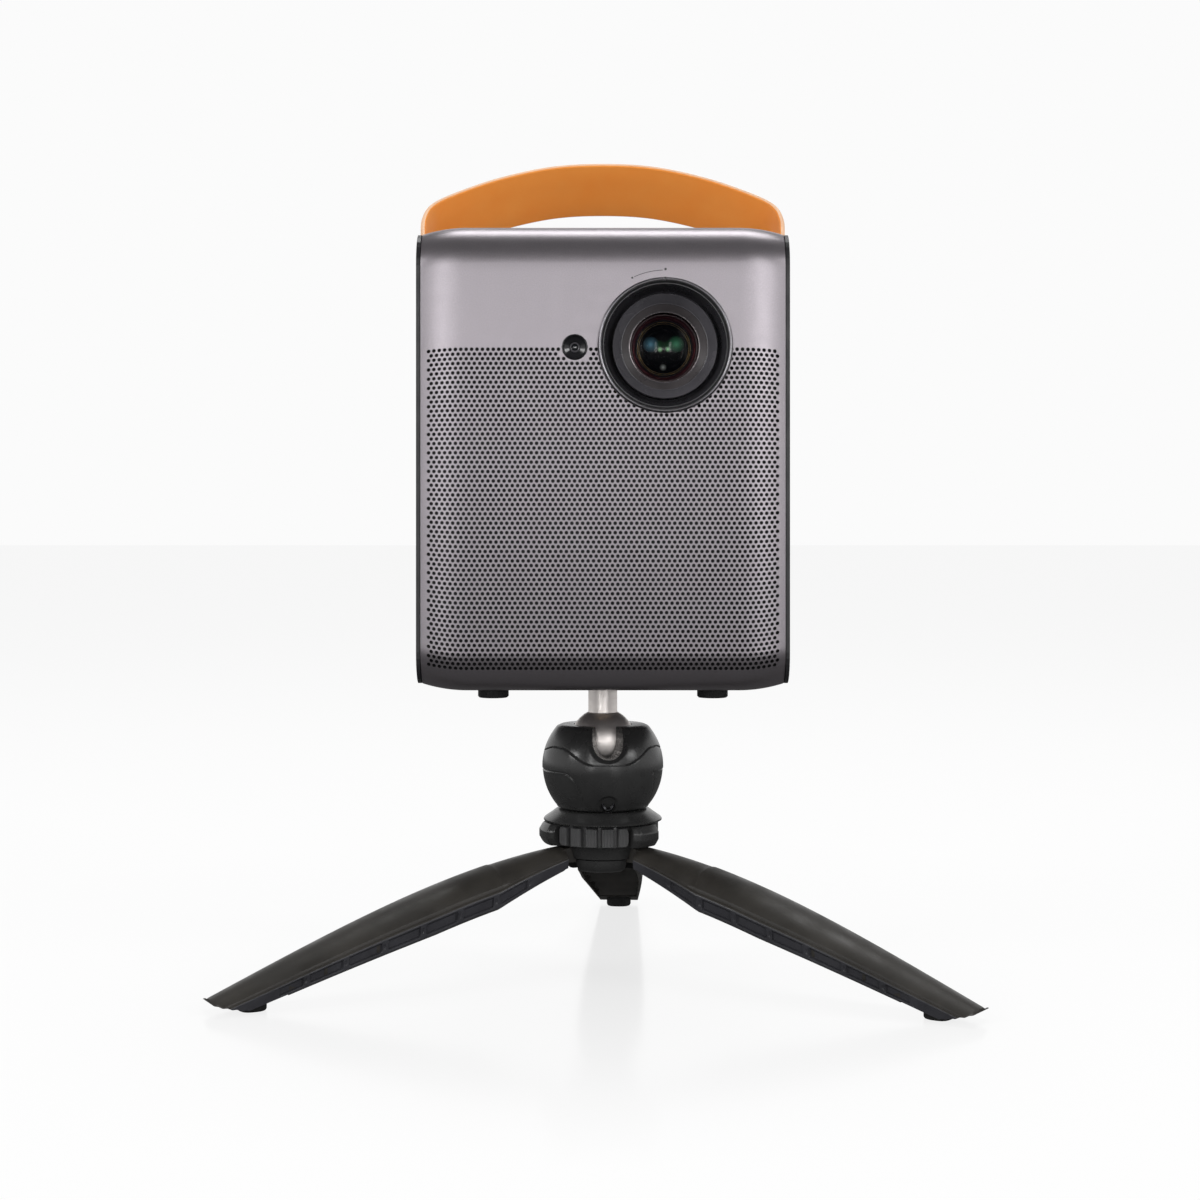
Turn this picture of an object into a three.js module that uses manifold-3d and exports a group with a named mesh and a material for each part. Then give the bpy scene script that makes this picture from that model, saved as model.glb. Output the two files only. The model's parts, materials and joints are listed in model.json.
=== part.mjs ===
// A portable home projector on a folding mini tripod with a ball head.
// Millimetres, +Z up, +X to the right and +Y to the back as the projector is seen from its front.
import * as THREE from "three";
import { mergeVertices } from "three/addons/utils/BufferGeometryUtils.js";
import Module from "manifold-3d";

const wasm = await Module();
wasm.setup();

// ---------------------------------------------------------------- driving dimensions
const GAP = 0.3; // clearance between pieces that meet

// Projector. Its own group has its origin at the centre of the underside.
const BODY = { width: 150, depth: 150, height: 188, corner: 16, wall: 1.6 };
const SLEEVE_LENGTH = 146.4;
const PILLOW = { start: 56, drop: 2.6 }; // the sleeve draws in over its last stretch at both ends
const LENS = { x: 24.9, z: 139.3, ringRadius: 27.1, barrelRadius: 21.2 };
const CAMERA_WINDOW = { x: -11.3, z: 138.5, radius: 5.1 };
const STRAP = { pivotZ: 163, width: 28.6, thickness: 2.2, lean: 46, top: 82 };
const PORTS = { width: 96, height: 30, z: 32 };
const FAN = { x: 55, y: 10, z: 50, size: 60, thickness: 15 };
const FOCUS = { module: 1.4, gearTeeth: 36, pinionTeeth: 9, y: -50, face: 5, meshAngle: 225 };

// Tripod. Its own group has its origin on the floor under the hub's axis.
const STAND_HEIGHT = 127; // floor to the projector's underside
const TRIPOD_TURN = -3; // degrees that the leg pattern is turned about +Z
const LEG = { pivotR: 13, pivotZ: 52.9, startR: 20.6, rootR: 25, toeR: 176 };
const GRIP = { radius: 18, spread: 57, skin: 2.2, wall: 6.6 }; // a leg's section
const FOOT = { innerR: 152.5, outerR: 164, width: 12, height: 8 };
const RING = { bottom: 56.6, top: 65.7, bore: 16.3, radius: 23.6, earRadius: 27.6, earHalfAngle: 18, turn: -9 };
const HUB = { bottom: 50.7, coneTop: 18.8, coneBottom: 17, core: 15.9 };
const HEAD = { bottom: 71.6, top: 107.3, waistZ: 89.5, radius: 26.2, endRadius: 19.2, slotTurn: 6 };
const BALL = { z: 99.8, radius: 14.3, stem: 6.25 };

// ---------------------------------------------------------------- helpers
const rad = THREE.MathUtils.degToRad;

function solid(geometry) {
  const bare = geometry.index ? geometry.toNonIndexed() : geometry.clone();
  bare.deleteAttribute("normal");
  bare.deleteAttribute("uv");
  const merged = mergeVertices(bare, 1e-4);
  const mesh = new wasm.Mesh({
    numProp: 3,
    vertProperties: merged.attributes.position.array,
    triVerts: new Uint32Array(merged.index.array),
  });
  return new wasm.Manifold(mesh);
}

function geometryOf(manifold) {
  const mesh = manifold.getMesh();
  const geometry = new THREE.BufferGeometry();
  geometry.setAttribute("position", new THREE.BufferAttribute(mesh.vertProperties, 3));
  geometry.setIndex(new THREE.BufferAttribute(mesh.triVerts, 1));
  return geometry;
}

function join(...geometries) {
  return geometryOf(geometries.map(solid).reduce((a, b) => a.add(b)));
}

function cut(geometry, ...tools) {
  return geometryOf(tools.map(solid).reduce((a, b) => a.subtract(b), solid(geometry)));
}

function overlap(geometry, tool) {
  return geometryOf(solid(geometry).intersect(solid(tool)));
}

// A box given by its lowest and highest corners.
function box([x0, y0, z0], [x1, y1, z1]) {
  const geometry = new THREE.BoxGeometry(x1 - x0, y1 - y0, z1 - z0);
  return geometry.translate((x0 + x1) / 2, (y0 + y1) / 2, (z0 + z1) / 2);
}

// Turns a geometry made along +Z so that it runs along another row axis.
function along(geometry, axis) {
  if (axis === "x") return geometry.rotateX(rad(90)).rotateZ(rad(90));
  if (axis === "y") return geometry.rotateX(rad(-90));
  return geometry;
}

function rod(radius, from, to, axis = "z", segments = 24) {
  const geometry = new THREE.CylinderGeometry(radius, radius, to - from, segments);
  geometry.rotateX(rad(90)).translate(0, 0, (from + to) / 2);
  return along(geometry, axis);
}

// A turned piece: [radius, height] points, either closed or with both ends on the axis.
function turned(points, segments = 48, axis = "z") {
  const profile = points.map(([r, z]) => new THREE.Vector2(r, z));
  return along(new THREE.LatheGeometry(profile, segments).rotateX(rad(90)), axis);
}

// A ring of rectangular section.
function tube(inner, outer, from, to, axis = "z", segments = 28) {
  const profile = [
    [inner, from],
    [outer, from],
    [outer, to],
    [inner, to],
    [inner, from],
  ];
  return turned(profile, segments, axis);
}

function roundedShape(width, height, radius) {
  const shape = new THREE.Shape();
  const x = width / 2;
  const y = height / 2;
  shape.moveTo(x, -y + radius);
  shape.lineTo(x, y - radius);
  shape.absarc(x - radius, y - radius, radius, 0, Math.PI / 2);
  shape.lineTo(-x + radius, y);
  shape.absarc(-x + radius, y - radius, radius, Math.PI / 2, Math.PI);
  shape.lineTo(-x, -y + radius);
  shape.absarc(-x + radius, -y + radius, radius, Math.PI, Math.PI * 1.5);
  shape.lineTo(x - radius, -y);
  shape.absarc(x - radius, -y + radius, radius, Math.PI * 1.5, Math.PI * 2);
  return shape;
}

function extrude(shape, depth, steps = 1, curveSegments = 6) {
  return new THREE.ExtrudeGeometry(shape, { depth, steps, curveSegments, bevelEnabled: false });
}

// A shape drawn in (Y, Z) and extruded along X, from x0 to x1.
function slabX(shape, x0, x1, steps = 1, curveSegments = 4) {
  const basis = new THREE.Matrix4().makeBasis(
    new THREE.Vector3(0, 1, 0),
    new THREE.Vector3(0, 0, 1),
    new THREE.Vector3(1, 0, 0),
  );
  return extrude(shape, x1 - x0, steps, curveSegments).applyMatrix4(basis).translate(x0, 0, 0);
}

// A shape drawn in (X, Z) and extruded along Y, from y0 to y1.
function slabY(shape, y0, y1, steps = 1, curveSegments = 6) {
  return extrude(shape, y1 - y0, steps, curveSegments).rotateX(rad(90)).translate(0, y1, 0);
}

// Moves each vertex of a geometry by a rule.
function reshape(geometry, rule) {
  const position = geometry.getAttribute("position");
  const point = new THREE.Vector3();
  for (let i = 0; i < position.count; i += 1) {
    point.fromBufferAttribute(position, i);
    rule(point);
    position.setXYZ(i, point.x, point.y, point.z);
  }
  return geometry;
}

function finish(color, roughness, metalness) {
  return new THREE.MeshStandardMaterial({ color, roughness, metalness });
}

const FINISHES = {
  sleeve: finish(0x8f898f, 0.36, 0.9),
  black: finish(0x18181a, 0.45, 0),
  gloss: finish(0x0a0a0c, 0.12, 0),
  leg: finish(0x33312e, 0.5, 0),
  steel: finish(0xc9c4bd, 0.18, 1),
  aluminium: finish(0xa9abae, 0.35, 1),
  brass: finish(0xb89a55, 0.3, 1),
  copper: finish(0xb06a3c, 0.3, 1),
  glass: finish(0x1c2630, 0.03, 0),
  coated: finish(0x3a1012, 0.2, 0.2),
  board: finish(0x14402a, 0.5, 0),
  rubber: finish(0x161616, 0.8, 0),
  leather: finish(0xc87a34, 0.5, 0),
  cell: finish(0x2b4a78, 0.5, 0),
};

function piece(group, name, geometry, material) {
  const mesh = new THREE.Mesh(geometry, FINISHES[material]);
  mesh.name = name;
  group.add(mesh);
  return mesh;
}

// ---------------------------------------------------------------- projector: case
// How far the sleeve's surface is drawn in at a place along X.
function pillow(x) {
  const t = Math.max(0, Math.abs(x) - PILLOW.start) / (SLEEVE_LENGTH / 2 - PILLOW.start);
  return PILLOW.drop * t * t;
}

function sleeve() {
  const { depth, height, corner, wall } = BODY;
  const profile = roundedShape(depth, height, corner);
  profile.holes.push(roundedShape(depth - 2 * wall, height - 2 * wall, corner - wall));
  const half = SLEEVE_LENGTH / 2;
  const shell = reshape(slabX(profile, -half, half, 8, 4), (p) => {
    p.x = half * Math.sin((Math.PI / 2) * (p.x / half));
    p.y *= 1 - (2 * pillow(p.x)) / depth;
    p.z *= 1 - (2 * pillow(p.x)) / height;
  }).translate(0, 0, height / 2);
  const reach = [-depth / 2 - 5, -depth / 2 + 5];
  const lensHole = rod(LENS.ringRadius - 1.6, ...reach, "y", 36).translate(LENS.x, 0, LENS.z);
  const windowHole = rod(CAMERA_WINDOW.radius + GAP, ...reach, "y", 24);
  windowHole.translate(CAMERA_WINDOW.x, 0, CAMERA_WINDOW.z);
  const portShape = roundedShape(PORTS.width + 2 * GAP, PORTS.height + 2 * GAP, 6);
  const portHole = slabY(portShape, depth / 2 - 5, depth / 2 + 5).translate(0, 0, PORTS.z);
  return cut(shell, lensHole, windowHole, portHole, rod(8.5 + GAP, -5, 5));
}

const PANEL = {
  inner: SLEEVE_LENGTH / 2 + GAP,
  outer: BODY.width / 2,
  y: BODY.depth - 2 * PILLOW.drop - 0.6,
  z: BODY.height - 2 * PILLOW.drop - 0.6,
  tongue: 5,
};

// The right side panel is a lid with a rim that reaches into the sleeve. The left one mirrors it.
function sidePanel() {
  const { inner, outer, y, z, tongue } = PANEL;
  const rimInset = 2 * (BODY.wall + 0.7);
  const lid = slabX(roundedShape(y, z, BODY.corner - PILLOW.drop), inner, outer);
  const rimShape = roundedShape(y - rimInset, z - rimInset, BODY.corner - 5);
  rimShape.holes.push(roundedShape(y - rimInset - 5, z - rimInset - 5, BODY.corner - 7.5));
  const rim = slabX(rimShape, inner - tongue, inner + 0.5);
  const body = join(lid, rim).translate(0, 0, BODY.height / 2);
  const slots = [];
  for (let i = 0; i < 9; i += 1) {
    const y0 = FAN.y - 24 + i * 6;
    slots.push(box([inner - 8, y0 - 1.4, FAN.z - 24], [outer + 2, y0 + 1.4, FAN.z + 24]));
  }
  const pivotHole = rod(2.6, inner - 8, outer + 2, "x", 20).translate(0, 0, STRAP.pivotZ);
  return cut(body, pivotHole, ...slots);
}

function chassis() {
  const plate = box([-64, -62, 3], [64, 62, 6]);
  const cheeks = [-1, 1].map((side) => {
    const x = side * 63;
    const foot = box([x - 1, -30, 5], [x + 1, 30, 16]);
    const post = box([x - 1, -9, 85], [x + 1, 9, 172]);
    const brace = box([x - 1, -30, 5], [x + 1, -23, 95]);
    const arm = box([x - 1, -30, 85], [x + 1, 9, 95]);
    return [foot, post, brace, arm];
  });
  const frame = join(plate, ...cheeks.flat());
  const pivots = rod(2.6, -70, 70, "x", 20).translate(0, 0, STRAP.pivotZ);
  return cut(frame, pivots, rod(8.5 + GAP, 0, 10));
}

function bodyFoot() {
  return turned(
    [
      [0, -3.6],
      [5.8, -3.6],
      [6.35, -3],
      [6.35, -GAP],
      [0, -GAP],
    ],
    18,
  );
}

// ---------------------------------------------------------------- projector: carrying strap
// Half of the strap's centre line in (X, distance from the pivot), from its end to the top.
function strapLine() {
  const half = [
    [76.6, -12],
    [76.7, 5],
    [77.8, 18],
    [78.9, 31],
    [78.9, 42],
    [75.6, 51.5],
    [65.4, 60.2],
    [46, 71.5],
    [23, 79.8],
  ];
  const right = half.map(([x, r]) => new THREE.Vector2(x, r));
  const left = half.map(([x, r]) => new THREE.Vector2(-x, r)).reverse();
  return new THREE.SplineCurve([...right, new THREE.Vector2(0, STRAP.top), ...left]);
}

function strap() {
  const line = strapLine();
  const count = 32;
  const outer = [];
  const inner = [];
  for (let i = 0; i <= count; i += 1) {
    const point = line.getPoint(i / count);
    const tangent = line.getTangent(i / count);
    const normal = new THREE.Vector2(tangent.y, -tangent.x).multiplyScalar(STRAP.thickness / 2);
    outer.push(point.clone().add(normal));
    inner.push(point.clone().sub(normal));
  }
  const half = STRAP.width / 2;
  const band = slabY(new THREE.Shape([...outer, ...inner.reverse()]), -half, half);
  const end = roundedShape(STRAP.width, 220, half - 0.5);
  const outline = slabX(end, -100, 100, 1, 8).translate(0, 0, 97.5);
  const trimmed = overlap(band, outline);
  return cut(trimmed, rod(2.6, -90, 90, "x", 20));
}

function strapRivet(side) {
  const rivet = join(rod(2.2, 60.5, 79.2, "x", 20), rod(5, 78.4, 80, "x", 24));
  return side > 0 ? rivet : rivet.rotateZ(rad(180));
}

// ---------------------------------------------------------------- projector: lens and focus drive
// Pieces of the lens are turned about +Y with the origin at the front face's plane.
function lensRing() {
  return turned(
    [
      [25.8, -2.4],
      [26.7, -2.6],
      [27.1, -2.1],
      [27.1, -GAP],
      [25.2, -GAP],
      [25.2, 3],
      [24.7, 3],
      [25.8, -2.4],
    ],
    36,
    "y",
  );
}

function lensHood() {
  return turned(
    [
      [25.3, -1.6],
      [24.2, 3.4],
      [24.2, 9],
      [21.8, 9],
      [21.8, 4.4],
      [22.6, 1.6],
      [25.3, -1.6],
    ],
    30,
    "y",
  );
}

function lensBarrel() {
  return turned(
    [
      [21.2, 4.5],
      [21.2, 48],
      [15, 48],
      [15, 16],
      [14.2, 14.6],
      [14.2, 9.8],
      [17.4, 9.2],
      [20.6, 4.5],
      [21.2, 4.5],
    ],
    28,
    "y",
  );
}

// A biconvex or plano-convex element: its front bulges by frontSag and its back by backSag.
function lensElement(radius, edge, frontSag, backSag, y) {
  const points = [];
  const rings = 3;
  for (let i = 0; i <= rings; i += 1) {
    const r = (radius * i) / rings;
    points.push([r, y - frontSag * (1 - (r / radius) ** 2)]);
  }
  for (let i = rings; i >= 0; i -= 1) {
    const r = (radius * i) / rings;
    points.push([r, y + edge + backSag * (1 - (r / radius) ** 2)]);
  }
  return turned(points, 24, "y");
}

function elementRetainer() {
  return turned(
    [
      [13.9, 17],
      [13.9, 26],
      [10.1, 26],
      [10.1, 24],
      [12.6, 17],
      [13.9, 17],
    ],
    24,
    "y",
  );
}

// A spur gear with straight-sided teeth. The first tooth's middle is on +X, turned by phase degrees.
function gearShape(teeth, phase, bore) {
  const pitchRadius = (FOCUS.module * teeth) / 2;
  const pitch = (2 * Math.PI) / teeth;
  const root = pitchRadius - 1.6;
  const tip = pitchRadius + 1.0;
  const corners = [
    [root, -0.25],
    [tip, -0.11],
    [tip, 0.11],
    [root, 0.25],
  ];
  const points = [];
  for (let i = 0; i < teeth; i += 1) {
    for (const [radius, share] of corners) {
      const angle = rad(phase) + pitch * (i + share);
      points.push(new THREE.Vector2(radius * Math.cos(angle), radius * Math.sin(angle)));
    }
  }
  const shape = new THREE.Shape(points);
  const hole = new THREE.Path();
  hole.absarc(0, 0, bore, 0, Math.PI * 2, true);
  shape.holes.push(hole);
  return shape;
}

const pinionDistance = (FOCUS.module * (FOCUS.gearTeeth + FOCUS.pinionTeeth)) / 2;
const PINION = {
  x: LENS.x + pinionDistance * Math.cos(rad(FOCUS.meshAngle)),
  z: LENS.z + pinionDistance * Math.sin(rad(FOCUS.meshAngle)),
};

function focusGear() {
  const shape = gearShape(FOCUS.gearTeeth, FOCUS.meshAngle, LENS.barrelRadius + GAP);
  return slabY(shape, FOCUS.y, FOCUS.y + FOCUS.face, 1, 12);
}

function motorPinion() {
  const halfPitch = 180 / FOCUS.pinionTeeth;
  const shape = gearShape(FOCUS.pinionTeeth, FOCUS.meshAngle + 180 + halfPitch, 1.3);
  return slabY(shape, FOCUS.y - 0.5, FOCUS.y + FOCUS.face + 0.5, 1, 4);
}

function focusMotor() {
  const can = rod(6, FOCUS.y + FOCUS.face + 1.5, -24, "y", 24);
  const shaft = rod(1, FOCUS.y - 1.5, FOCUS.y + FOCUS.face + 2, "y", 12);
  return join(can, shaft);
}

// ---------------------------------------------------------------- projector: inside
function opticalEngine() {
  const housing = box([-18, -21, 112], [60, 40, 168]);
  const throat = tube(15, 24, -25, -20, "y", 40).translate(LENS.x, 0, LENS.z);
  const light = rod(15, -30, 0, "y", 32).translate(LENS.x, 0, LENS.z);
  return cut(join(housing, throat), light);
}

function heatSink() {
  const base = box([22, -18, 78], [46, 38, 82]);
  const fins = [];
  for (let i = 0; i < 10; i += 1) {
    const y = -17 + i * 5.9;
    fins.push(box([22, y, 22], [46, y + 1.4, 79]));
  }
  return join(base, ...fins);
}

function fanFrame() {
  const half = FAN.size / 2;
  const side = roundedShape(FAN.size, FAN.size, 4);
  const bore = new THREE.Path();
  bore.absarc(0, 0, half - 2.5, 0, Math.PI * 2, true);
  side.holes.push(bore);
  const duct = slabX(side, -FAN.thickness / 2, FAN.thickness / 2, 1, 6);
  const x0 = -FAN.thickness / 2;
  const struts = [0, 60, 120].map((turn) =>
    box([x0, -half + 2, -1.5], [x0 + 2, half - 2, 1.5]).rotateX(rad(turn)),
  );
  return join(duct, rod(11, x0, x0 + 2, "x", 24), rod(1.5, x0, 5, "x", 12), ...struts);
}

function fanImpeller() {
  const hub = rod(11, -4.5, 6.5, "x", 24);
  const blades = [];
  const count = 7;
  for (let i = 0; i < count; i += 1) {
    const blade = new THREE.BoxGeometry(9, 1.2, 17).rotateZ(rad(35));
    blades.push(blade.translate(1, 0, 17.8).rotateX((2 * Math.PI * i) / count));
  }
  const bore = rod(1.5 + GAP, -6, 5.4, "x", 12);
  return cut(join(hub, ...blades), bore);
}

function speaker() {
  return turned(
    [
      [0, 8.5],
      [7, 8.5],
      [20, 2],
      [22, 0.4],
      [24, 0.4],
      [24, 3.5],
      [21, 5],
      [10, 12],
      [10, 20],
      [0, 20],
    ],
    20,
    "y",
  );
}

function batteryPack() {
  const cells = [];
  for (let i = 0; i < 4; i += 1) {
    cells.push(rod(9.2, -32, 34, "y", 16).translate(-50 + i * 18.2, 0, 22));
  }
  return join(...cells, box([-50, -30, 19], [4.6, 32, 25]));
}

function circuitBoard([x0, y0, z0], [x1, y1, z1], chips) {
  return join(box([x0, y0, z0], [x1, y1, z1]), ...chips.map(([low, high]) => box(low, high)));
}

function mainBoard() {
  return circuitBoard([-58, 46, 56], [44, 47.6, 150], [
    [[-30, 44, 100], [-8, 46.5, 122]],
    [[6, 44.6, 92], [20, 46.5, 106]],
    [[-50, 44, 70], [-36, 46.5, 84]],
    [[-54, 47, 58], [-40, 54, 66]],
  ]);
}

function powerBoard() {
  return circuitBoard([-58, -34, 34], [10, 34, 35.6], [
    [[-52, -28, 35], [-34, -8, 48]],
    [[-26, 4, 35], [-10, 20, 52]],
    [[-52, 12, 35], [-42, 26, 44]],
  ]);
}

function cameraModule() {
  const housing = box([-7, -70, -7], [7, -60, 7]);
  return join(housing, rod(3.2, -71.6, -69, "y", 20)).translate(CAMERA_WINDOW.x, 0, CAMERA_WINDOW.z);
}

function cameraWindow() {
  const y = -BODY.depth / 2;
  const { x, z, radius } = CAMERA_WINDOW;
  const rim = rod(radius, y - 0.2, y + 2.6, "y", 24);
  return cut(rim, rod(radius - 1, y - 1, y + 0.6, "y", 24)).translate(x, 0, z);
}

// ---------------------------------------------------------------- projector: ports
const PORT_FACE = BODY.depth / 2 - 1;
const SOCKETS = {
  power: { x: -36, radius: 3.4 },
  video: { x: -17, width: 15, height: 5.6 },
  usb: { x: 4, width: 13, height: 5.8 },
  audio: { x: 20, radius: 1.9 },
  button: { x: 36, radius: 5 },
};

function socketShell({ x, width, height }) {
  const hw = width / 2;
  const hh = height / 2;
  const outer = box([x - hw - 1, PORT_FACE - 16, -hh - 1], [x + hw + 1, PORT_FACE - 3.3, hh + 1]);
  const inner = box([x - hw, PORT_FACE - 14, -hh], [x + hw, PORT_FACE, hh]);
  return cut(outer, inner).translate(0, 0, PORTS.z);
}

function jackShell({ x, radius }, pin) {
  const block = box([x - 5.5, PORT_FACE - 16, -5], [x + 5.5, PORT_FACE - 3.3, 5]);
  const hole = rod(radius, PORT_FACE - 13, PORT_FACE, "y", 20).translate(x, 0, 0);
  const open = cut(block, hole);
  const contact = rod(1, PORT_FACE - 14, PORT_FACE - 5, "y", 12).translate(x, 0, 0);
  return (pin ? join(open, contact) : open).translate(0, 0, PORTS.z);
}

function rearPanel() {
  const plate = slabY(roundedShape(PORTS.width, PORTS.height, 6), PORT_FACE - 3, PORT_FACE);
  const openings = [SOCKETS.video, SOCKETS.usb].map(({ x, width, height }) =>
    box([x - width / 2, PORT_FACE - 5, -height / 2], [x + width / 2, PORT_FACE + 2, height / 2]),
  );
  for (const { x, radius } of [SOCKETS.power, SOCKETS.audio, SOCKETS.button]) {
    openings.push(rod(radius, PORT_FACE - 5, PORT_FACE + 2, "y", 24).translate(x, 0, 0));
  }
  return cut(plate, ...openings).translate(0, 0, PORTS.z);
}

function powerButton() {
  const { x, radius } = SOCKETS.button;
  const cap = rod(radius - GAP, PORT_FACE - 4.5, PORT_FACE + 0.8, "y", 24);
  const flange = rod(radius + 1, PORT_FACE - 5.3, PORT_FACE - 3.4, "y", 24);
  return join(cap, flange).translate(x, 0, PORTS.z);
}

function buttonBoard() {
  const { x } = SOCKETS.button;
  const board = box([x - 8, PORT_FACE - 12, -8], [x + 8, PORT_FACE - 10.4, 8]);
  const dome = rod(2, PORT_FACE - 11, PORT_FACE - 7, "y", 16).translate(x, 0, 0);
  return join(board, dome).translate(0, 0, PORTS.z);
}

// ---------------------------------------------------------------- tripod: ball head
function ballStem() {
  const top = STAND_HEIGHT - GAP;
  const ball = new THREE.SphereGeometry(BALL.radius, 24, 14).rotateX(rad(90)).translate(0, 0, BALL.z);
  return join(ball, rod(BALL.stem, BALL.z, top), rod(3.1, top - 1, STAND_HEIGHT + 9, "z", 20));
}

function tripodInsert() {
  return turned(
    [
      [3.4, 0.2],
      [8.5, 0.2],
      [8.5, 2.7],
      [8.5, 12],
      [3.4, 12],
      [3.4, 0.2],
    ],
    20,
  );
}

// The head's outside: an arc through the waist between its two end radii, as [radius, z].
function headOutline(count) {
  const points = [];
  for (let i = 0; i <= count; i += 1) {
    const z = THREE.MathUtils.lerp(HEAD.bottom, HEAD.top, i / count);
    const half = z < HEAD.waistZ ? HEAD.waistZ - HEAD.bottom : HEAD.top - HEAD.waistZ;
    const t = (z - HEAD.waistZ) / half;
    const swell = Math.sqrt(1 - (0.68 * t) ** 2);
    const least = Math.sqrt(1 - 0.68 ** 2);
    points.push([HEAD.endRadius + ((HEAD.radius - HEAD.endRadius) * (swell - least)) / (1 - least), z]);
  }
  return points;
}

function ballHousing() {
  const cavity = BALL.radius + GAP;
  const lip = Math.sqrt(cavity ** 2 - (HEAD.top - BALL.z) ** 2);
  const inside = [];
  for (let i = 0; i <= 3; i += 1) {
    const z = THREE.MathUtils.lerp(HEAD.top, BALL.z, i / 3);
    inside.push([Math.max(lip, Math.sqrt(cavity ** 2 - (z - BALL.z) ** 2)), z]);
  }
  const floor = HEAD.bottom + 3;
  const outside = headOutline(8);
  const profile = [...outside, ...inside, [cavity, floor], [6, floor], [6, HEAD.bottom], outside[0]];
  const slotHalf = BALL.stem + 0.6;
  const slot = join(
    rod(slotHalf, -40, 0, "y", 24).translate(0, 0, BALL.z),
    box([-slotHalf, -40, BALL.z], [slotHalf, 0, HEAD.top + 5]),
  );
  const screwHole = rod(3.3, -30, -16, "y", 20).translate(0, 0, HEAD.bottom + 3.4);
  return cut(turned(profile, 32), slot, screwHole);
}

function indexScrew() {
  const slot = box([-0.5, -26, -5], [0.5, -21.4, 5]);
  return cut(rod(3, -22.2, -16.4, "y", 20), slot).translate(0, 0, HEAD.bottom + 3.4);
}

function ballSeat() {
  const cup = BALL.radius + GAP;
  const points = [];
  for (let i = 0; i <= 4; i += 1) {
    const r = THREE.MathUtils.lerp(6, 13.4, i / 4);
    points.push([r, BALL.z - Math.sqrt(cup ** 2 - r ** 2)]);
  }
  return turned([...points.reverse(), [6, 82], [13.9, 82], [13.9, 94.2], points[0]], 20);
}

function seatSpring() {
  const rings = [75.2, 77.4, 79.6].map((z) => tube(8, 13, z, z + 1.2, "z", 18));
  const links = [0, 1].map((i) =>
    box([9, -1.5, 76], [12, 1.5, 78]).translate(0, 0, i * 2.2).rotateZ(Math.PI * i),
  );
  return join(...rings, ...links);
}

// ---------------------------------------------------------------- tripod: hub
const LEG_TURNS = [210, 330, 90].map((turn) => turn + TRIPOD_TURN);

// Makes one copy of a radial geometry, made along +X, at each leg.
function atLegs(make) {
  return LEG_TURNS.map((turn) => make().rotateZ(rad(turn)));
}

function skirt() {
  return turned(
    [
      [RING.bore, 66],
      [24.4, 66],
      [25.35, 66.9],
      [24.6, 68],
      [21.5, 70.2],
      [19.4, HEAD.bottom - GAP],
      [RING.bore, HEAD.bottom - GAP],
      [RING.bore, 66],
    ],
    32,
  );
}

function lockRing() {
  const { bottom, top, bore, radius, earRadius, earHalfAngle, turn: ringTurn } = RING;
  const ring = turned(
    [
      [bore, bottom],
      [radius - 1, bottom],
      [radius, bottom + 1],
      [radius, top - 1],
      [radius - 1, top],
      [bore, top],
      [bore, bottom],
    ],
    30,
  );
  const ears = atLegs(() => {
    const shape = new THREE.Shape();
    shape.moveTo(bore + 3, -bore * 0.4);
    shape.absarc(0, 0, earRadius, -rad(earHalfAngle), rad(earHalfAngle));
    shape.lineTo(bore + 3, bore * 0.4);
    return extrude(shape, top - bottom - 2, 1, 5).translate(0, 0, bottom + 1).rotateZ(rad(ringTurn));
  });
  const ribs = [];
  for (const turn of LEG_TURNS) {
    for (let i = -2; i <= 2; i += 1) {
      const rib = box([radius - 1, -1.6, bottom + 1], [radius + 0.7, 1.6, top - 1]);
      ribs.push(rib.rotateZ(rad(turn + ringTurn + 60 + i * 12)));
    }
  }
  return join(ring, ...ears, ...ribs);
}

function legSlot() {
  return box([7.5, -5.2, 40], [40, 5.2, RING.bottom - GAP + 0.2]);
}

function baseHub() {
  const { bottom, coneTop, coneBottom, core } = HUB;
  const top = HEAD.bottom - GAP;
  const hub = turned(
    [
      [0, bottom],
      [coneBottom, bottom],
      [coneTop, RING.bottom - GAP],
      [core, RING.bottom - GAP],
      [core, top],
      [0, top],
    ],
    30,
  );
  const pinHoles = atLegs(() =>
    rod(1.5 + GAP, -8.5, 8.5, "y", 16).translate(LEG.pivotR, 0, LEG.pivotZ),
  );
  return cut(hub, ...atLegs(legSlot), ...pinHoles);
}

function basePlate() {
  const plate = turned(
    [
      [0, 45],
      [14, 45],
      [15.8, 46.6],
      [16.4, HUB.bottom - GAP],
      [0, HUB.bottom - GAP],
    ],
    28,
  );
  return cut(plate, ...atLegs(legSlot));
}

// ---------------------------------------------------------------- tripod: legs
// The crown line of an open leg: its height above the floor at a distance from the hub's axis.
function crown(r) {
  const t = (r - LEG.rootR) / (LEG.toeR - LEG.rootR);
  return 55.3 - 21.5 * t - 43 * t ** 2 + 15 * t ** 3;
}

// The leg's width as a share of its widest, narrow at the root and the toe.
function legWidth(r) {
  const t = (r - LEG.rootR) / (LEG.toeR - LEG.rootR);
  const swell = Math.min(1, 0.62 + 1.9 * t);
  const taper = 1 - 0.42 * Math.max(0, (t - 0.38) / 0.62) ** 1.3;
  return swell * taper;
}

const LEG_STEPS = 9;

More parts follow.
